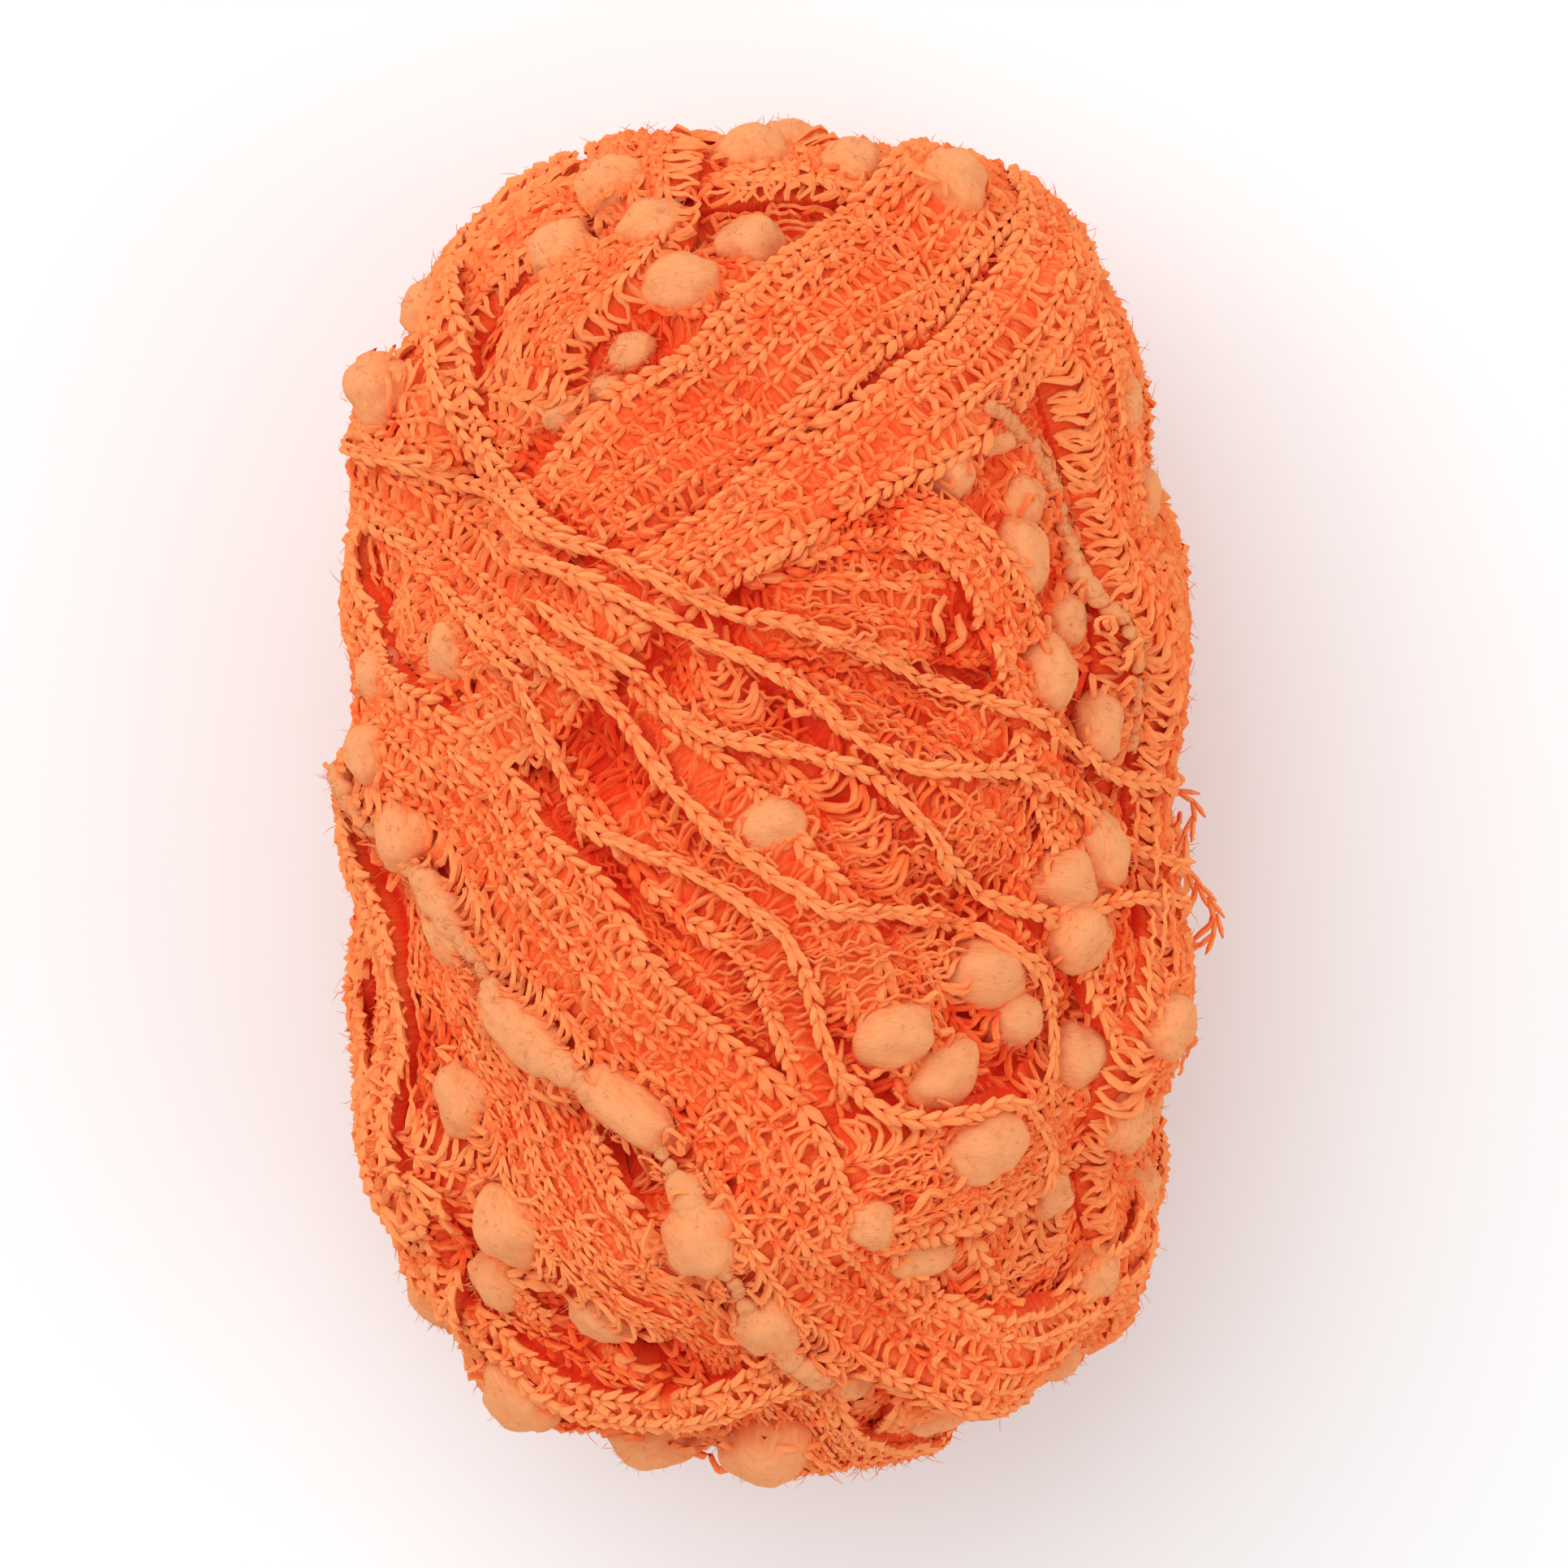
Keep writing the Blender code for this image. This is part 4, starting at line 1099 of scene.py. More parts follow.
roving_lumps = [felted_lump(3, seed * 2.3) for seed in range(5)]
for turn, laid in zip(TURNS, turns_laid):
    curl_side = CURL_SIDES.get(turn.name, turn.pompom_side)
    lanes = wale_lanes(turn.wales, curl_side, WALES_END.get(turn.name, USUAL_WALES_END))
    bold_lanes = lanes[:1] if curl_side and turn.wales > 2 else (lanes[0], lanes[-1])
    ribbon, last = ribbon_blocks(laid, lanes, RIBBON_TONE, bold_lanes)
    if curl_side:
        edge_form, edge_heights, edge_places = stitches(laid, COMB_EDGE * curl_side)
        between = onto_form(edge_form + last[0])
        middle = np.maximum(edge_heights, last[1])
        for comb_set in range(3 if turn.name in CURL_SIDES else 2):
            kept = chance.random(len(between)) < COMB_SHARE
            comb_ends = np.roll(edge_places, -(comb_set % 2), axis=0)
            ribbon += rung_blocks(last[2][kept], comb_ends[kept], between[kept], middle[kept], COMB_TONE,
                                  combs_fine[curl_side], combs_plain[curl_side])
    picot_side = PICOT_SIDES.get(turn.name, 0)
    if picot_side:
        edge_form, edge_heights, edge_places = stitches(laid, PICOT_EDGE * picot_side)
        picots = [strand(rung_route(bow * picot_side, 1.0, 0.0, 6), 3) for bow in PICOT_BOWS]
        ribbon += rung_blocks(edge_places, np.roll(edge_places, -1, axis=0), edge_form, edge_heights,
                              PICOT_TONE, picots, picots)
    joined_piece(turn.name + "_ribbon", ribbon, thread)

roving_roots = []
frayed = []
for roving_name, roving_radius, roving_stations in ROVINGS:
    roving_line = face_line(roving_stations)
    half_roving = np.full(len(roving_line), roving_radius * MM)
    roving_laid = lay_on_pile(roving_line, half_roving, roving_radius * MM, False)
    roving_form, roving_heights = wale_places(roving_laid, 0.0, ROVING_PITCH)
    roving_places = in_place(roving_form, roving_heights)
    ahead = unit(np.gradient(roving_places, axis=0))
    up = outward(roving_form)
    across = unit(np.cross(up, ahead))
    swelling = 1 + wander(len(ahead), SWELLING_LUMPS, ROVING_SWELLING)
    thick = roving_radius * np.maximum(swelling, THINNEST_ROVING)[:, None]
    lump_kind = chance.integers(len(roving_lumps), size=len(ahead))
    felted = []
    for number, lump in enumerate(roving_lumps):
        chosen = lump_kind == number
        lump_tones = ROVING_TONE + chance.normal(scale=STRAND_TONE_SPREAD, size=chosen.sum())
        felted.append(stamp(lump, roving_places[chosen], (ahead * LUMP_LENGTH * thick)[chosen],
                            (across * thick)[chosen], (up * thick)[chosen], lump_tones))
    joined_piece(roving_name, felted, felt, True)
    roving_roots.append(np.stack([roving_places, ahead, across, up * thick * MM], axis=1))
    for _ in range(FRAYS_ON_A_LUMP):
        side = chance.choice((-1, 1), (len(roving_places), 1))
        root = chance.uniform(0.2, 1.0, (len(side), 1))
        starts = roving_places + across * side * root * roving_radius * MM
        ends = starts + side * across * chance.uniform(*FRAY_REACH, (len(side), 1))
        ends = ends + ahead * chance.normal(scale=FRAY_LEAN, size=(len(side), 1)) - up * FRAY_SUNK
        frayed += rung_blocks(starts + up * FRAY_LIFT, ends, roving_form, roving_heights, FRAY_TONE,
                              curls_fine, curls_plain)
joined_piece("roving_frays", frayed, thread)
roving_roots = np.concatenate(roving_roots)

# The pulled-out chains are the same stitches drawn long and pale. Stubs of their torn-off rungs stand along
# them.
PULLED_PITCH = 0.0023
PULLED_TONE = 0.66
STUB_SHARE = 0.35
STUB_REACH = 0.0022
STUB_SUNK = 0.0007
STUB_TONE = 0.5
PULLED_LEG_ROUTE = (
    # along, sideways and up in mm, radius in mm
    (-0.45, 0.10, -0.42, 0.22), (0.30, 0.28, 0.10, 0.43), (1.15, 0.60, 0.14, 0.45), (1.95, 0.78, -0.38, 0.22),
)
pulled_legs = (strand(PULLED_LEG_ROUTE, 4), strand(PULLED_LEG_ROUTE[::2] + PULLED_LEG_ROUTE[3:], 3))

for (chain_name, _, _), laid in zip(PULLED_CHAINS, pulled_laid):
    form_places, heights = wale_places(laid, 0.0, PULLED_PITCH)
    places = in_place(form_places, heights)
    chain = chain_blocks(form_places, heights, places, False, 1.0, PULLED_TONE, pulled_legs)
    for side in (-1, 1):
        stubs = chance.random(len(places)) < STUB_SHARE
        aside = unit(np.cross(outward(form_places), np.gradient(places, axis=0)))
        reach = STUB_REACH * chance.uniform(0.6, 1.4, (len(places), 1))
        ends = places + side * aside * reach - outward(form_places) * STUB_SUNK
        chain += rung_blocks(places[stubs], ends[stubs], form_places[stubs], heights[stubs], STUB_TONE,
                             curls_fine, curls_plain)
    joined_piece(chain_name, chain, thread)

# Between the pulled-out chains, and in some gaps between the bands, the ribbon's rungs are drawn into long
# wavy threads, side by side like a fringe.
DRAWN_FIELDS = (
    # x and y of the middle, length along the threads and width across in mm, the threads' turn in degrees
    (9.0, 24.0, 20, 14, -4), (17.0, -8.0, 24, 11, 4), (0.0, -22.0, 15, 14, 6), (13.0, -20.0, 15, 8, 12),
    (15.0, 11.0, 24, 9, -22), (-9.0, -6.0, 13, 8, -20), (29.0, -4.0, 15, 12, 52), (-2.0, 9.5, 12, 8, -14),
    (22.0, -45.5, 22, 9, 14), (-32.0, 12.0, 9, 9, -30), (37.0, -39.0, 8, 8, 40), (41.0, -21.5, 8, 5, 70),
    (0.5, 71.0, 20, 7, 4), (-43.6, -21.0, 20, 4, 100), (-43.2, -37.0, 18, 4, 92), (45.0, -16.0, 24, 5, 84),
    (47.6, -28.0, 14, 4, 95), (-46.5, 24.0, 18, 5, 118), (24.5, 14.0, 14, 5, -12), (-18.0, -12.5, 14, 5, -42),
    (30.0, -61.6, 18, 4, -3), (-44.6, -30.0, 24, 3, 96),
)
DRAWN_LENGTH = 0.0080
DRAWN_SPACING = 0.00115
DRAWN_RISE = 0.0001
DRAWN_MARGIN = 3  # mm at a field's ends: threads start within the first, and none starts in the last
DRAWN_ASIDE = 0.15
DRAWN_LEAN = 6
DRAWN_TONE = 0.50
DRAWN_RADIUS = 0.27
DRAWN_END_DROP = 0.7
DRAWN_WAVER = 0.10
WAVER_TURN = 3.1  # in radians to the millimetre


def wavy_route(phase, swing, wave, stations):
    """A thread of DRAWN_LENGTH that swings aside by swing mm in waves of wave mm, its ends sunk."""
    route = []
    for number in range(stations):
        share = number / (stations - 1)
        along = DRAWN_LENGTH / MM * share
        aside = swing * math.sin(2 * math.pi * along / wave + phase)
        sunk = DRAWN_END_DROP * abs(2 * share - 1) ** 5
        height = DRAWN_WAVER * math.sin(WAVER_TURN * along + phase) - sunk
        route.append((along, aside, height, DRAWN_RADIUS))
    return route


WAVES = ((0.0, 0.30, 2.9), (1.9, 0.42, 2.3), (3.7, 0.22, 3.6), (5.1, 0.36, 2.6))
wavy_threads = [strand(wavy_route(*wave, 11), 3) for wave in WAVES]
drawn_starts = []
for x, y, length, width, turned in DRAWN_FIELDS:
    angle = math.radians(turned)
    ahead = np.array((math.cos(angle), math.sin(angle)))
    aside = np.array((-ahead[1], ahead[0]))
    for row in np.arange(-width / 2, width / 2, DRAWN_SPACING / MM):
        at = -length / 2 + chance.uniform(0, DRAWN_MARGIN)
        while at < length / 2 - DRAWN_MARGIN:
            start = np.array((x, y)) + ahead * at + aside * (row + chance.normal(scale=DRAWN_ASIDE))
            lean = math.radians(turned + chance.normal(scale=DRAWN_LEAN))
            drawn_starts.append((*start, lean))
            at += DRAWN_LENGTH / MM * chance.uniform(0.75, 1.15)
drawn_rows = np.array(drawn_starts)
drawn_form = np.array([form_point(x * MM, y * MM, 1) for x, y in drawn_rows[:, :2]])
drawn_level = np.array([np.cos(drawn_rows[:, 2]), np.sin(drawn_rows[:, 2]), np.zeros(len(drawn_rows))]).T
drawn_up = outward(drawn_form)
drawn_ahead = unit(drawn_level - (drawn_level * drawn_up).sum(axis=1, keepdims=True) * drawn_up)
drawn_share = chance.uniform(0.75, 1.2, (len(drawn_form), 1))
drawn_ends = onto_form(drawn_form + drawn_ahead * DRAWN_LENGTH * drawn_share)
along_the_thread = np.linspace(0.1, 0.9, 7)[:, None, None]
under_the_thread = onto_form(drawn_form + along_the_thread * (drawn_ends - drawn_form))
drawn_ground = np.sort(pile[map_cell(under_the_thread)], axis=0)
drawn_heights = drawn_ground[2] + DRAWN_RISE
drawn_start_places = in_place(drawn_form, drawn_heights - hollow_depth(drawn_form))
drawn_end_places = in_place(drawn_ends, drawn_heights - hollow_depth(drawn_ends))
drawn_middle = onto_form((drawn_form + drawn_ends) / 2)
drawn_bulge = unit(outward(drawn_middle))
drawn_run = drawn_end_places - drawn_start_places
drawn_across = unit(np.cross(drawn_bulge, drawn_run))
drawn_kind = chance.integers(len(wavy_threads), size=len(drawn_rows))
drawn_tones = strand_tones(drawn_middle, drawn_heights, DRAWN_TONE)
joined_piece("drawn_threads", stamp_kinds(wavy_threads, drawn_kind, drawn_start_places,
                                          drawn_run / DRAWN_LENGTH, drawn_across, drawn_bulge,
                                          drawn_tones), thread)

# Here and there the windings inside show between the turns, as more such threads that slant like the inner
# turns. They are painted darker for the shade between the turns.
INSIDE_THREADS = 1100
INSIDE_SLANT = math.radians(42)
INSIDE_SLANT_SPREAD = 0.10
INSIDE_THREAD_RADIUS = 0.42
INSIDE_THREAD_RISE = 0.0002
INSIDE_THREAD_SHADE_TONE = 0.30

inside_strands = []
for wave in WAVES:
    inside_route = [(x, y, z, INSIDE_THREAD_RADIUS) for x, y, z, _ in wavy_route(*wave, 7)]
    inside_strands.append(strand(inside_route, 3))
bare = np.flatnonzero(pile_around(inside_form).min(axis=0) < INNER_RISE / 2)
spots = chance.choice(bare, min(INSIDE_THREADS, len(bare)), replace=False)
spot_places = np.array([inside_mesh.vertices[spot].co for spot in spots])
spot_up = np.array([inside_mesh.vertices[spot].normal for spot in spots])
level_ahead = unit(np.array((0.0, 1.0, 0.0)) - spot_up * spot_up[:, 1:2])
slant = INSIDE_SLANT + chance.normal(scale=INSIDE_SLANT_SPREAD, size=(len(spots), 1))
spot_run = level_ahead * np.cos(slant) + np.cross(spot_up, level_ahead) * np.sin(slant)
spot_run *= DRAWN_LENGTH * chance.uniform(0.7, 1.1, (len(spots), 1))
spot_starts = spot_places - spot_run / 2 + spot_up * INSIDE_THREAD_RISE
spot_across = unit(np.cross(spot_up, spot_run))
spot_kind = chance.integers(len(inside_strands), size=len(spots))
spot_tones = INSIDE_THREAD_SHADE_TONE + chance.normal(scale=STRAND_TONE_SPREAD, size=len(spots))
joined_piece("inner_threads", stamp_kinds(inside_strands, spot_kind, spot_starts, spot_run / DRAWN_LENGTH,
                                          spot_across, spot_up, spot_tones), thread)

# A few threads have sprung up into bold loops that stand free of the rest.
RAISED_LOOPS = (
    # x and y of one foot, then of the other, and how far the loop swings to the right of that course, in mm
    (-5.8, -47.2, -2.6, -47.6, 2.4), (-14.4, -38.4, -12.0, -38.8, -1.6), (-17.2, -35.4, -13.6, -35.0, -1.2),
    (16.4, -50.2, 20.4, -48.0, -1.6), (21.2, -47.6, 24.2, -46.4, -1.2), (-28.0, -27.6, -25.6, -27.2, -2.0),
    (-23.6, -6.4, -21.6, -5.0, -1.6), (-12.4, 7.8, -12.0, 5.2, -1.4), (-8.6, 9.6, -6.2, 8.6, 1.2),
    (21.6, 23.8, 22.2, 18.8, 1.4), (23.6, 21.8, 22.8, 17.4, -1.3), (2.6, 11.4, 5.0, 9.8, 1.0),
)
RAISED_LIFT = 0.3
RAISED_THICKER = 0.06
RAISED_TONE = 0.62
raised_blocks = []
for start_x, start_y, end_x, end_y, bow in RAISED_LOOPS:
    start = form_point(start_x * MM, start_y * MM, 1)
    end = form_point(end_x * MM, end_y * MM, 1)
    feet = onto_form(np.array([start, end]))
    foot_heights = pile[map_cell(feet)]
    foot_places = in_place(feet, foot_heights - hollow_depth(feet) * 0.6)
    up = outward(feet[:1])
    run = foot_places[1:] - foot_places[:1]
    loop_route = [(x, y, z + RAISED_LIFT, radius + RAISED_THICKER)
                  for x, y, z, radius in rung_route(bow, 1.0, 0.3, 9)]
    raised_blocks.append(stamp(strand(loop_route, 4), foot_places[:1], run / RUNG_SPAN,
                               unit(np.cross(run, up)), up, np.array([RAISED_TONE])))
joined_piece("raised_loops", raised_blocks, thread)

# The pompoms are balls of felted fibre, a little paler than the chains, worked into the ribbon's fuzzy edge.
# Curly threads hold them at their foot.
POMPOM_RADIUS = 0.0048
POMPOM_PITCH = 0.0165
POMPOM_SUNK = 0.0018
POMPOM_CLEAR = 2.2  # the least distance from one to the next, in radii
POMPOMS_BELOW = -0.1  # as a share of the form's height: the ones above it are listed
POMPOM_SPREAD = 0.09
POMPOM_LONG = 1.1
POMPOM_TONE = 0.5
POMPOM_CURLS = 6
TIE_OUT = 1.25  # radii from a pompom's middle to where its ties start and end
TIE_IN = 0.92
TIE_LOW = 0.28
TIE_HIGH = 0.40
TIE_TURNS = (0.5, 0.9)
TIE_TONE = 0.50
UPPER_POMPOMS = (
    # x, y, half length and half width in mm, turn of the length in degrees, how far it is sunk in mm
    (-1.7, 79.4, 5.0, 4.8, 0, 1.9), (10.4, 78.4, 4.6, 4.4, 0, 1.9), (21.8, 74.0, 4.8, 4.4, 140, 1.9),
    (-19.0, 74.5, 4.4, 4.0, 0, 1.9), (-38.0, 70.2, 4.2, 4.0, 40, 1.9), (-43.7, 61.0, 4.6, 4.2, 60, 1.9),
    (-44.6, 49.0, 5.2, 4.8, 90, 1.9), (-26.6, 68.0, 4.6, 4.0, 0, 1.9), (-14.8, 70.8, 4.8, 3.8, 20, 1.9),
    (-2.6, 69.5, 4.4, 4.2, 0, 1.9), (-11.0, 62.4, 5.2, 4.2, 0, 1.9), (-21.3, 50.2, 3.5, 2.6, 35, 1.4),
    (-17.6, 54.4, 3.2, 2.4, 35, 1.4), (-25.6, 46.6, 2.8, 1.8, 35, 1.6), (28.0, 44.0, 3.8, 2.7, 0, 1.8),
    (22.8, 39.2, 4.2, 3.7, 60, 1.9),
    (32.6, 36.2, 3.7, 3.2, 90, 1.6), (31.5, 28.7, 5.7, 3.7, 95, 1.4), (35.0, 14.8, 5.0, 3.7, 100, 1.4),
    (41.5, 8.6, 4.4, 3.4, 100, 1.6), (37.6, 21.3, 3.7, 2.9, 100, 1.4), (43.2, 49.0, 5.0, 3.6, 110, 1.9),
    (47.2, 37.6, 4.8, 3.8, 95, 1.7), (49.0, 25.4, 3.9, 2.8, 90, 1.9), (41.8, -7.4, 5.4, 4.2, 100, 1.9),
    (38.6, -17.0, 5.0, 4.4, 60, 1.9), (37.2, -10.6, 4.6, 4.2, 0, 1.9), (-41.0, 18.4, 4.6, 3.6, 90, 2.8),
    (-0.4, -3.8, 4.8, 3.8, 10, 3.0), (-47.8, 14.6, 4.2, 3.8, 90, 1.9), (-47.4, 5.0, 4.6, 4.2, 90, 1.9),
    (-45.8, -5.0, 5.0, 4.6, 130, 1.9), (-41.2, -17.2, 6.4, 4.2, 148, 1.5), (-30.4, -28.7, 7.6, 3.6, 149, 1.3),
    (-17.9, -38.0, 7.4, 3.6, 144, 1.3), (-8.0, -53.0, 5.2, 4.6, 130, 1.9), (-0.4, -64.2, 4.8, 4.2, 135, 1.9),
    (9.8, -75.2, 5.0, 4.4, 150, 1.9), (-38.8, -37.4, 5.0, 4.2, 120, 1.9), (-31.4, -52.8, 5.4, 4.6, 140, 1.9),
    (-34.6, -60.0, 4.4, 4.0, 140, 1.9), (-21.6, -64.6, 4.6, 4.0, 160, 1.9),
    (-42.0, -62.4, 4.8, 4.0, 120, -0.4), (-30.2, -73.4, 5.4, 4.8, 150, -0.8),
    (-15.2, -80.4, 6.0, 4.8, 175, -0.6), (-0.4, -79.6, 6.0, 5.0, 5, 0.9),
    (21.2, -78.4, 4.4, 4.0, 0, 1.9), (29.0, -75.6, 4.4, 4.0, 30, 1.9), (35.8, -69.6, 4.2, 3.8, 45, 1.9),
    (15.4, -28.8, 5.4, 4.6, 10, 1.9), (21.0, -34.0, 5.4, 4.2, 30, 1.9), (27.6, -21.8, 6.2, 4.2, 0, 1.9),
    (31.4, -27.6, 4.8, 3.8, 0, 1.9), (39.6, -32.2, 4.8, 4.2, 170, 1.9), (45.2, -28.0, 4.4, 4.2, 90, 1.9),
    (25.4, -42.4, 5.6, 4.6, 10, 1.9), (43.8, -40.2, 4.6, 4.0, 110, 1.9), (37.4, -50.2, 4.0, 3.6, 0, 1.9),
    (18.8, -56.4, 5.0, 3.6, 0, 1.9), (11.8, -51.6, 3.6, 3.2, 0, 1.9), (50.6, -39.6, 4.4, 3.6, 90, 1.9),
    (51.6, -28.6, 4.0, 3.6, 90, 1.9), (47.6, -49.6, 4.2, 3.6, 90, 1.9), (40.2, -59.4, 4.0, 3.4, 50, 1.9),
)
pompom_rows = []
for x, y, half_length, half_width, turned, sunk in UPPER_POMPOMS:
    centre = form_point(x * MM, y * MM, 1)
    angle = math.radians(turned)
    pompom_rows.append((centre, np.array((math.cos(angle), math.sin(angle), 0.0)), half_length * MM,
                        half_width * MM, sunk * MM))
for turn, laid in zip(TURNS, turns_laid):
    if turn.pompom_side:
        edge = laid.line + laid.sideways * (turn.pompom_side * laid.half)[:, None]
        step = int(POMPOM_PITCH / STATION_STEP)
        for number, index in enumerate(range(step // 2, len(edge), step)):
            centre = edge[index]
            clear = POMPOM_CLEAR * POMPOM_RADIUS
            crowded = any(np.linalg.norm(centre - other[0]) < clear for other in pompom_rows)
            if centre[2] > POMPOMS_BELOW * FORM_HEIGHT or crowded:
                continue
            size = POMPOM_RADIUS * (1 + POMPOM_SPREAD * math.sin(5.0 * number + len(pompom_rows)))
            ahead = edge[(index + 1) % len(edge)] - edge[index - 1]
            pompom_rows.append((centre, ahead, size * POMPOM_LONG, size, POMPOM_SUNK))

pompom_centres = np.array([row[0] for row in pompom_rows])
pompom_form = onto_form(pompom_centres)
pompom_sunk = np.array([row[4] for row in pompom_rows])
pompom_places = in_place(pompom_form, pile[map_cell(pompom_form)] - pompom_sunk)
pompom_up = outward(pompom_form)
pompom_blocks = []
pompom_frames = []
for number, (row, centre, up) in enumerate(zip(pompom_rows, pompom_places, pompom_up)):
    along = unit(row[1] - up * (row[1] @ up))
    across = np.cross(up, along)
    lump = felted_lump(4 if centre[2] > FINE_ABOVE else 3, number * 3.7)
    frame_rows = (along[None] * row[2] / MM, across[None] * row[3] / MM, up[None] * row[3] / MM)
    pompom_blocks.append(stamp(lump, centre[None], *frame_rows, np.array([POMPOM_TONE])))
    pompom_frames.append((centre, *(rows[0] * MM for rows in frame_rows)))
joined_piece("pompoms", pompom_blocks, felt, True)

holding = []
for form_place, (centre, along, across, up) in zip(pompom_form, pompom_frames):
    if centre[2] < FORM_HEIGHT / 4:
        continue
    around = np.arange(POMPOM_CURLS) * 2 * math.pi / POMPOM_CURLS + chance.uniform(0, 1, POMPOM_CURLS)
    ring = np.stack([np.cos(around), np.sin(around)], axis=1)
    outer = centre + TIE_OUT * (ring[:, :1] * along + ring[:, 1:] * across) + TIE_LOW * up
    turned = around + chance.choice((-1, 1), POMPOM_CURLS) * chance.uniform(*TIE_TURNS, POMPOM_CURLS)
    ring = np.stack([np.cos(turned), np.sin(turned)], axis=1)
    inner = centre + TIE_IN * (ring[:, :1] * along + ring[:, 1:] * across) + TIE_HIGH * up
    places_there = np.repeat(form_place[None], POMPOM_CURLS, axis=0)
    heights_there = np.repeat(pile[map_cell(form_place[None])], POMPOM_CURLS)
    holding += rung_blocks(outer, inner, places_there, heights_there, TIE_TONE, curls_fine, curls_plain)
joined_piece("pompom_ties", holding, thread)

# At the ball's right side a stretch of edge chain has sprung out of the ribbon and stands free as a small
# loop, with short threads across it and at its foot.
LOOP_ROUTE = (
    # x and y in mm from the form's middle
    (47.0, 0.0), (50.8, 0.5), (53.2, -0.9), (53.1, -3.2), (52.0, -6.0), (52.2, -8.8), (53.8, -11.2),
    (55.6, -13.9), (56.2, -16.6), (54.6, -18.8), (51.6, -18.9), (47.0, -18.6),
)
LOOP_THREADS = (
    # from x, y to x, y
    ((53.6, -11.0), (50.6, -17.6)), ((55.8, -14.6), (53.2, -18.4)), ((50.2, -9.4), (52.4, -8.6)),
    ((51.0, -20.8), (53.9, -19.2)), ((51.6, -2.2), (49.4, -5.4)),
)
LOOP_HEIGHT = 0.0020
LOOP_PITCH = 0.0021
LOOP_STEPS = 200
LOOP_SIZE = 0.72
LOOP_TONE = 0.62
LOOP_TONE_SPREAD = 0.06
LOOP_THREAD_TONE = 0.60

loop_stations = [(x * MM, y * MM, LOOP_HEIGHT) for x, y in LOOP_ROUTE]
loop_line = evenly(smooth_line(loop_stations, LOOP_STEPS, False), LOOP_PITCH, False)
loop_ahead = np.gradient(loop_line, axis=0)
loop_up = np.tile((0.0, 0.0, 1.0), (len(loop_line), 1))
loop_across = unit(np.cross(loop_up, loop_ahead))
loop_tones = LOOP_TONE + chance.normal(scale=LOOP_TONE_SPREAD, size=len(loop_line))
loop_blocks = [stamp(leg, loop_line + FORM_MIDDLE, loop_ahead / STITCH_PITCH, loop_across * LOOP_SIZE,
                     loop_up * LOOP_SIZE, loop_tones) for leg in (leg_fine, mirrored(leg_fine))]
for (start_x, start_y), (end_x, end_y) in LOOP_THREADS:
    start = np.array((start_x * MM, start_y * MM, LOOP_HEIGHT)) + FORM_MIDDLE
    run = np.array(((end_x - start_x) * MM, (end_y - start_y) * MM, 0.0))
    across = unit(np.cross(loop_up[0], run))
    loop_blocks.append(stamp(rungs_fine[1], start[None], run[None] / RUNG_SPAN, across[None], loop_up[:1],
                             np.array([LOOP_THREAD_TONE])))
joined_piece("sprung_loop", loop_blocks, thread)

# Loose fibre ends stand off the chains, the roving and the pompoms: the yarn's fuzz. They are short single
# hairs, stamped like the threads.
HAIRS_ON_THREAD = 5000
HAIRS_ON_A_POMPOM = 60
HAIRS_ON_A_ROVING_LUMP = 8
THREAD_HAIR_LENGTHS = (0.0012, 0.0028)
THREAD_HAIR_ASIDE = 0.0008
THREAD_HAIR_LIFT = 0.0003
THREAD_HAIR_TONE = 0.66
POMPOM_HAIR_LENGTHS = (0.0005, 0.0015)
POMPOM_HAIR_TONE = 0.8
ROVING_HAIR_LENGTHS = (0.0008, 0.0020)
ROVING_HAIR_TONE = 0.6
HAIR_TONE_SPREAD = 0.12
HAIR_ROUTES = (
    # along, sideways, up and radius, for a hair 1 mm long
    ((0.0, 0.0, 0.0, 0.026), (0.5, 0.10, 0.10, 0.022), (1.0, 0.34, 0.10, 0.008)),
    ((0.0, 0.0, 0.0, 0.026), (0.5, -0.14, 0.16, 0.022), (0.9, -0.46, 0.22, 0.008)),
    ((0.0, 0.0, 0.0, 0.026), (0.45, 0.20, 0.02, 0.022), (0.7, 0.60, 0.00, 0.008)),
)
hairs = [strand(hair_route, 3) for hair_route in HAIR_ROUTES]
short_hairs = [strand(((0.0, 0.0, 0.0, 0.050), (*hair_route[2][:3], 0.022)), 3)
               for hair_route in HAIR_ROUTES]


def hair_blocks(templates, roots, directions, up, lengths, tone):
    """Single hairs at their roots, each in its own direction."""
    across = unit(np.cross(up, directions))
    away = np.cross(directions, across)
    kind = chance.integers(len(templates), size=len(roots))
    blocks = []
    for number, hair in enumerate(templates):
        chosen = kind == number
        size = lengths[chosen, None] / MM
        hair_tones = tone + chance.normal(scale=HAIR_TONE_SPREAD, size=chosen.sum())
        blocks.append(stamp(hair, roots[chosen], directions[chosen] * size, across[chosen] * size,
                            away[chosen] * size, hair_tones))
    return blocks


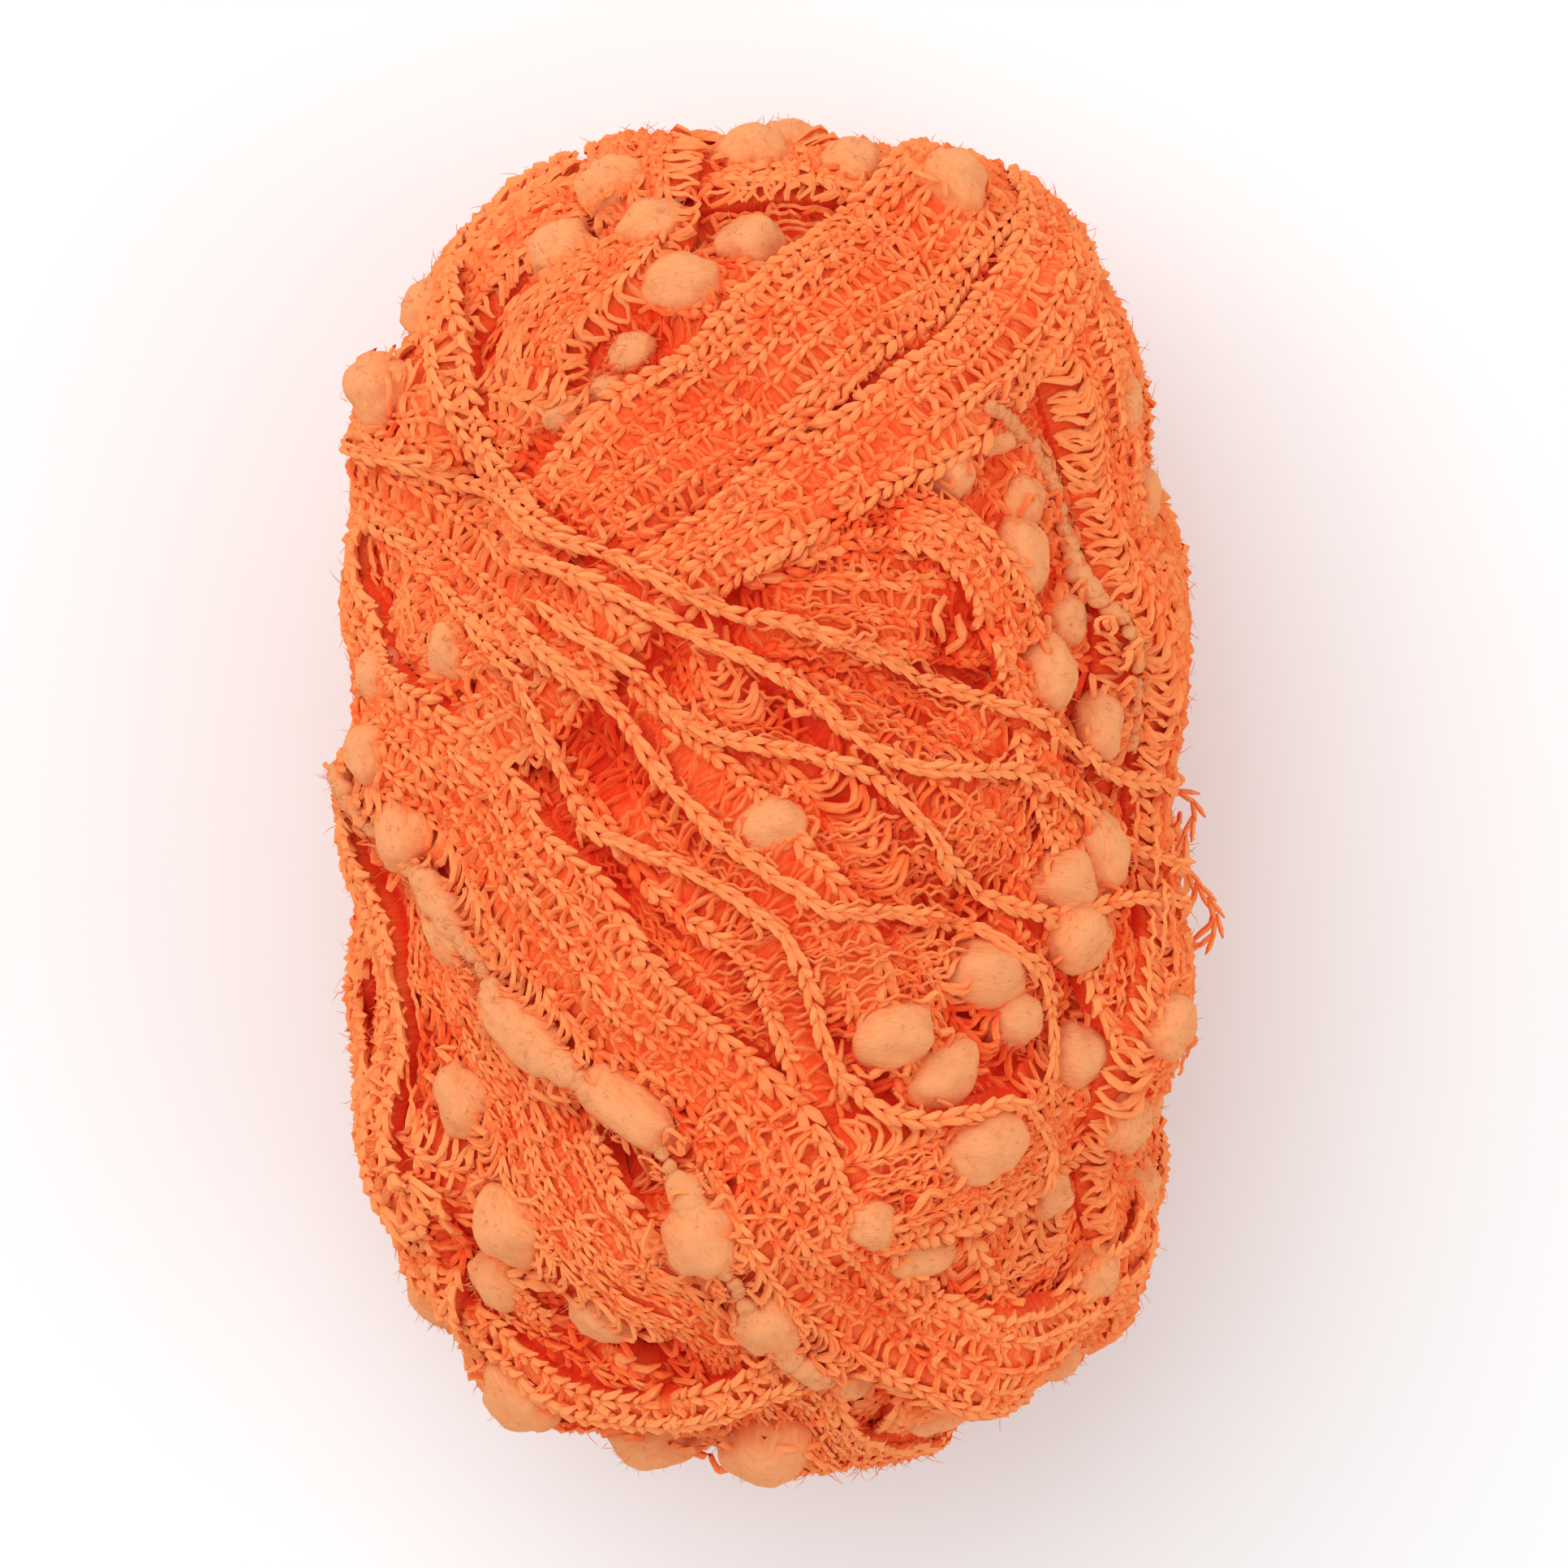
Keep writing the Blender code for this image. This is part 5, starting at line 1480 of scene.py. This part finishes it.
root_frames = np.concatenate(fuzz_roots)
picked = chance.choice(len(root_frames), HAIRS_ON_THREAD, replace=False)
places, ahead, across, up = (root_frames[picked, column] for column in range(4))
around = chance.uniform(0, 2 * math.pi, HAIRS_ON_THREAD)[:, None]
lifted = chance.uniform(0.05, 0.9, HAIRS_ON_THREAD)[:, None]
directions = unit(ahead * np.cos(around) + across * np.sin(around) + up * lifted)
aside = chance.uniform(-THREAD_HAIR_ASIDE, THREAD_HAIR_ASIDE, (HAIRS_ON_THREAD, 1))
roots = places + up * THREAD_HAIR_LIFT + across * aside
hair_lengths = chance.uniform(*THREAD_HAIR_LENGTHS, HAIRS_ON_THREAD)
thread_hairs = hair_blocks(hairs, roots, directions, up, hair_lengths, THREAD_HAIR_TONE)
joined_piece("thread_fuzz", thread_hairs, thread)

felt_hairs = []
for centre, along, across, up in pompom_frames:
    if centre[2] < 0:
        continue
    scatter = unit(chance.normal(size=(HAIRS_ON_A_POMPOM, 3)) + np.array((0, 0, 0.6)))
    roots = centre + 0.97 * (scatter[:, :1] * along + scatter[:, 1:2] * across + scatter[:, 2:] * up)
    out = unit(roots - centre)
    directions = unit(out + 0.9 * unit(chance.normal(size=(HAIRS_ON_A_POMPOM, 3))))
    hair_lengths = chance.uniform(*POMPOM_HAIR_LENGTHS, HAIRS_ON_A_POMPOM)
    felt_hairs += hair_blocks(short_hairs, roots, directions, out, hair_lengths, POMPOM_HAIR_TONE)
for _ in range(HAIRS_ON_A_ROVING_LUMP):
    places, ahead, across, up = (roving_roots[:, column] for column in range(4))
    around = chance.uniform(-1.2, 1.2, (len(places), 1))
    reach = np.linalg.norm(up, axis=1, keepdims=True)
    out = unit(unit(up) * np.cos(around) + across * np.sin(around))
    directions = unit(out + 1.2 * unit(chance.normal(size=places.shape)))
    hair_lengths = chance.uniform(*ROVING_HAIR_LENGTHS, len(places))
    felt_hairs += hair_blocks(hairs, places + out * reach * 0.9, directions, out, hair_lengths,
                              ROVING_HAIR_TONE)
joined_piece("felt_fuzz", felt_hairs, felt)

# The surface is a plain pale table.
FLOOR_SIDE = 3.0
FLOOR_COLOUR = (0.925, 0.95, 0.955, 1.0)
shaped = bmesh.new()
bmesh.ops.create_grid(shaped, x_segments=1, y_segments=1, size=FLOOR_SIDE / 2)
floor_mesh = bpy.data.meshes.new("floor")
shaped.to_mesh(floor_mesh)
shaped.free()
floor_paint = bpy.data.materials.new("white_floor")
floor_paint.use_nodes = True
floor_shader = floor_paint.node_tree.nodes["Principled BSDF"]
floor_shader.inputs["Base Color"].default_value = FLOOR_COLOUR
floor_shader.inputs["Roughness"].default_value = 0.9
floor_mesh.materials.append(floor_paint)
floor = bpy.data.objects.new("floor", floor_mesh)
bpy.context.scene.collection.objects.link(floor)
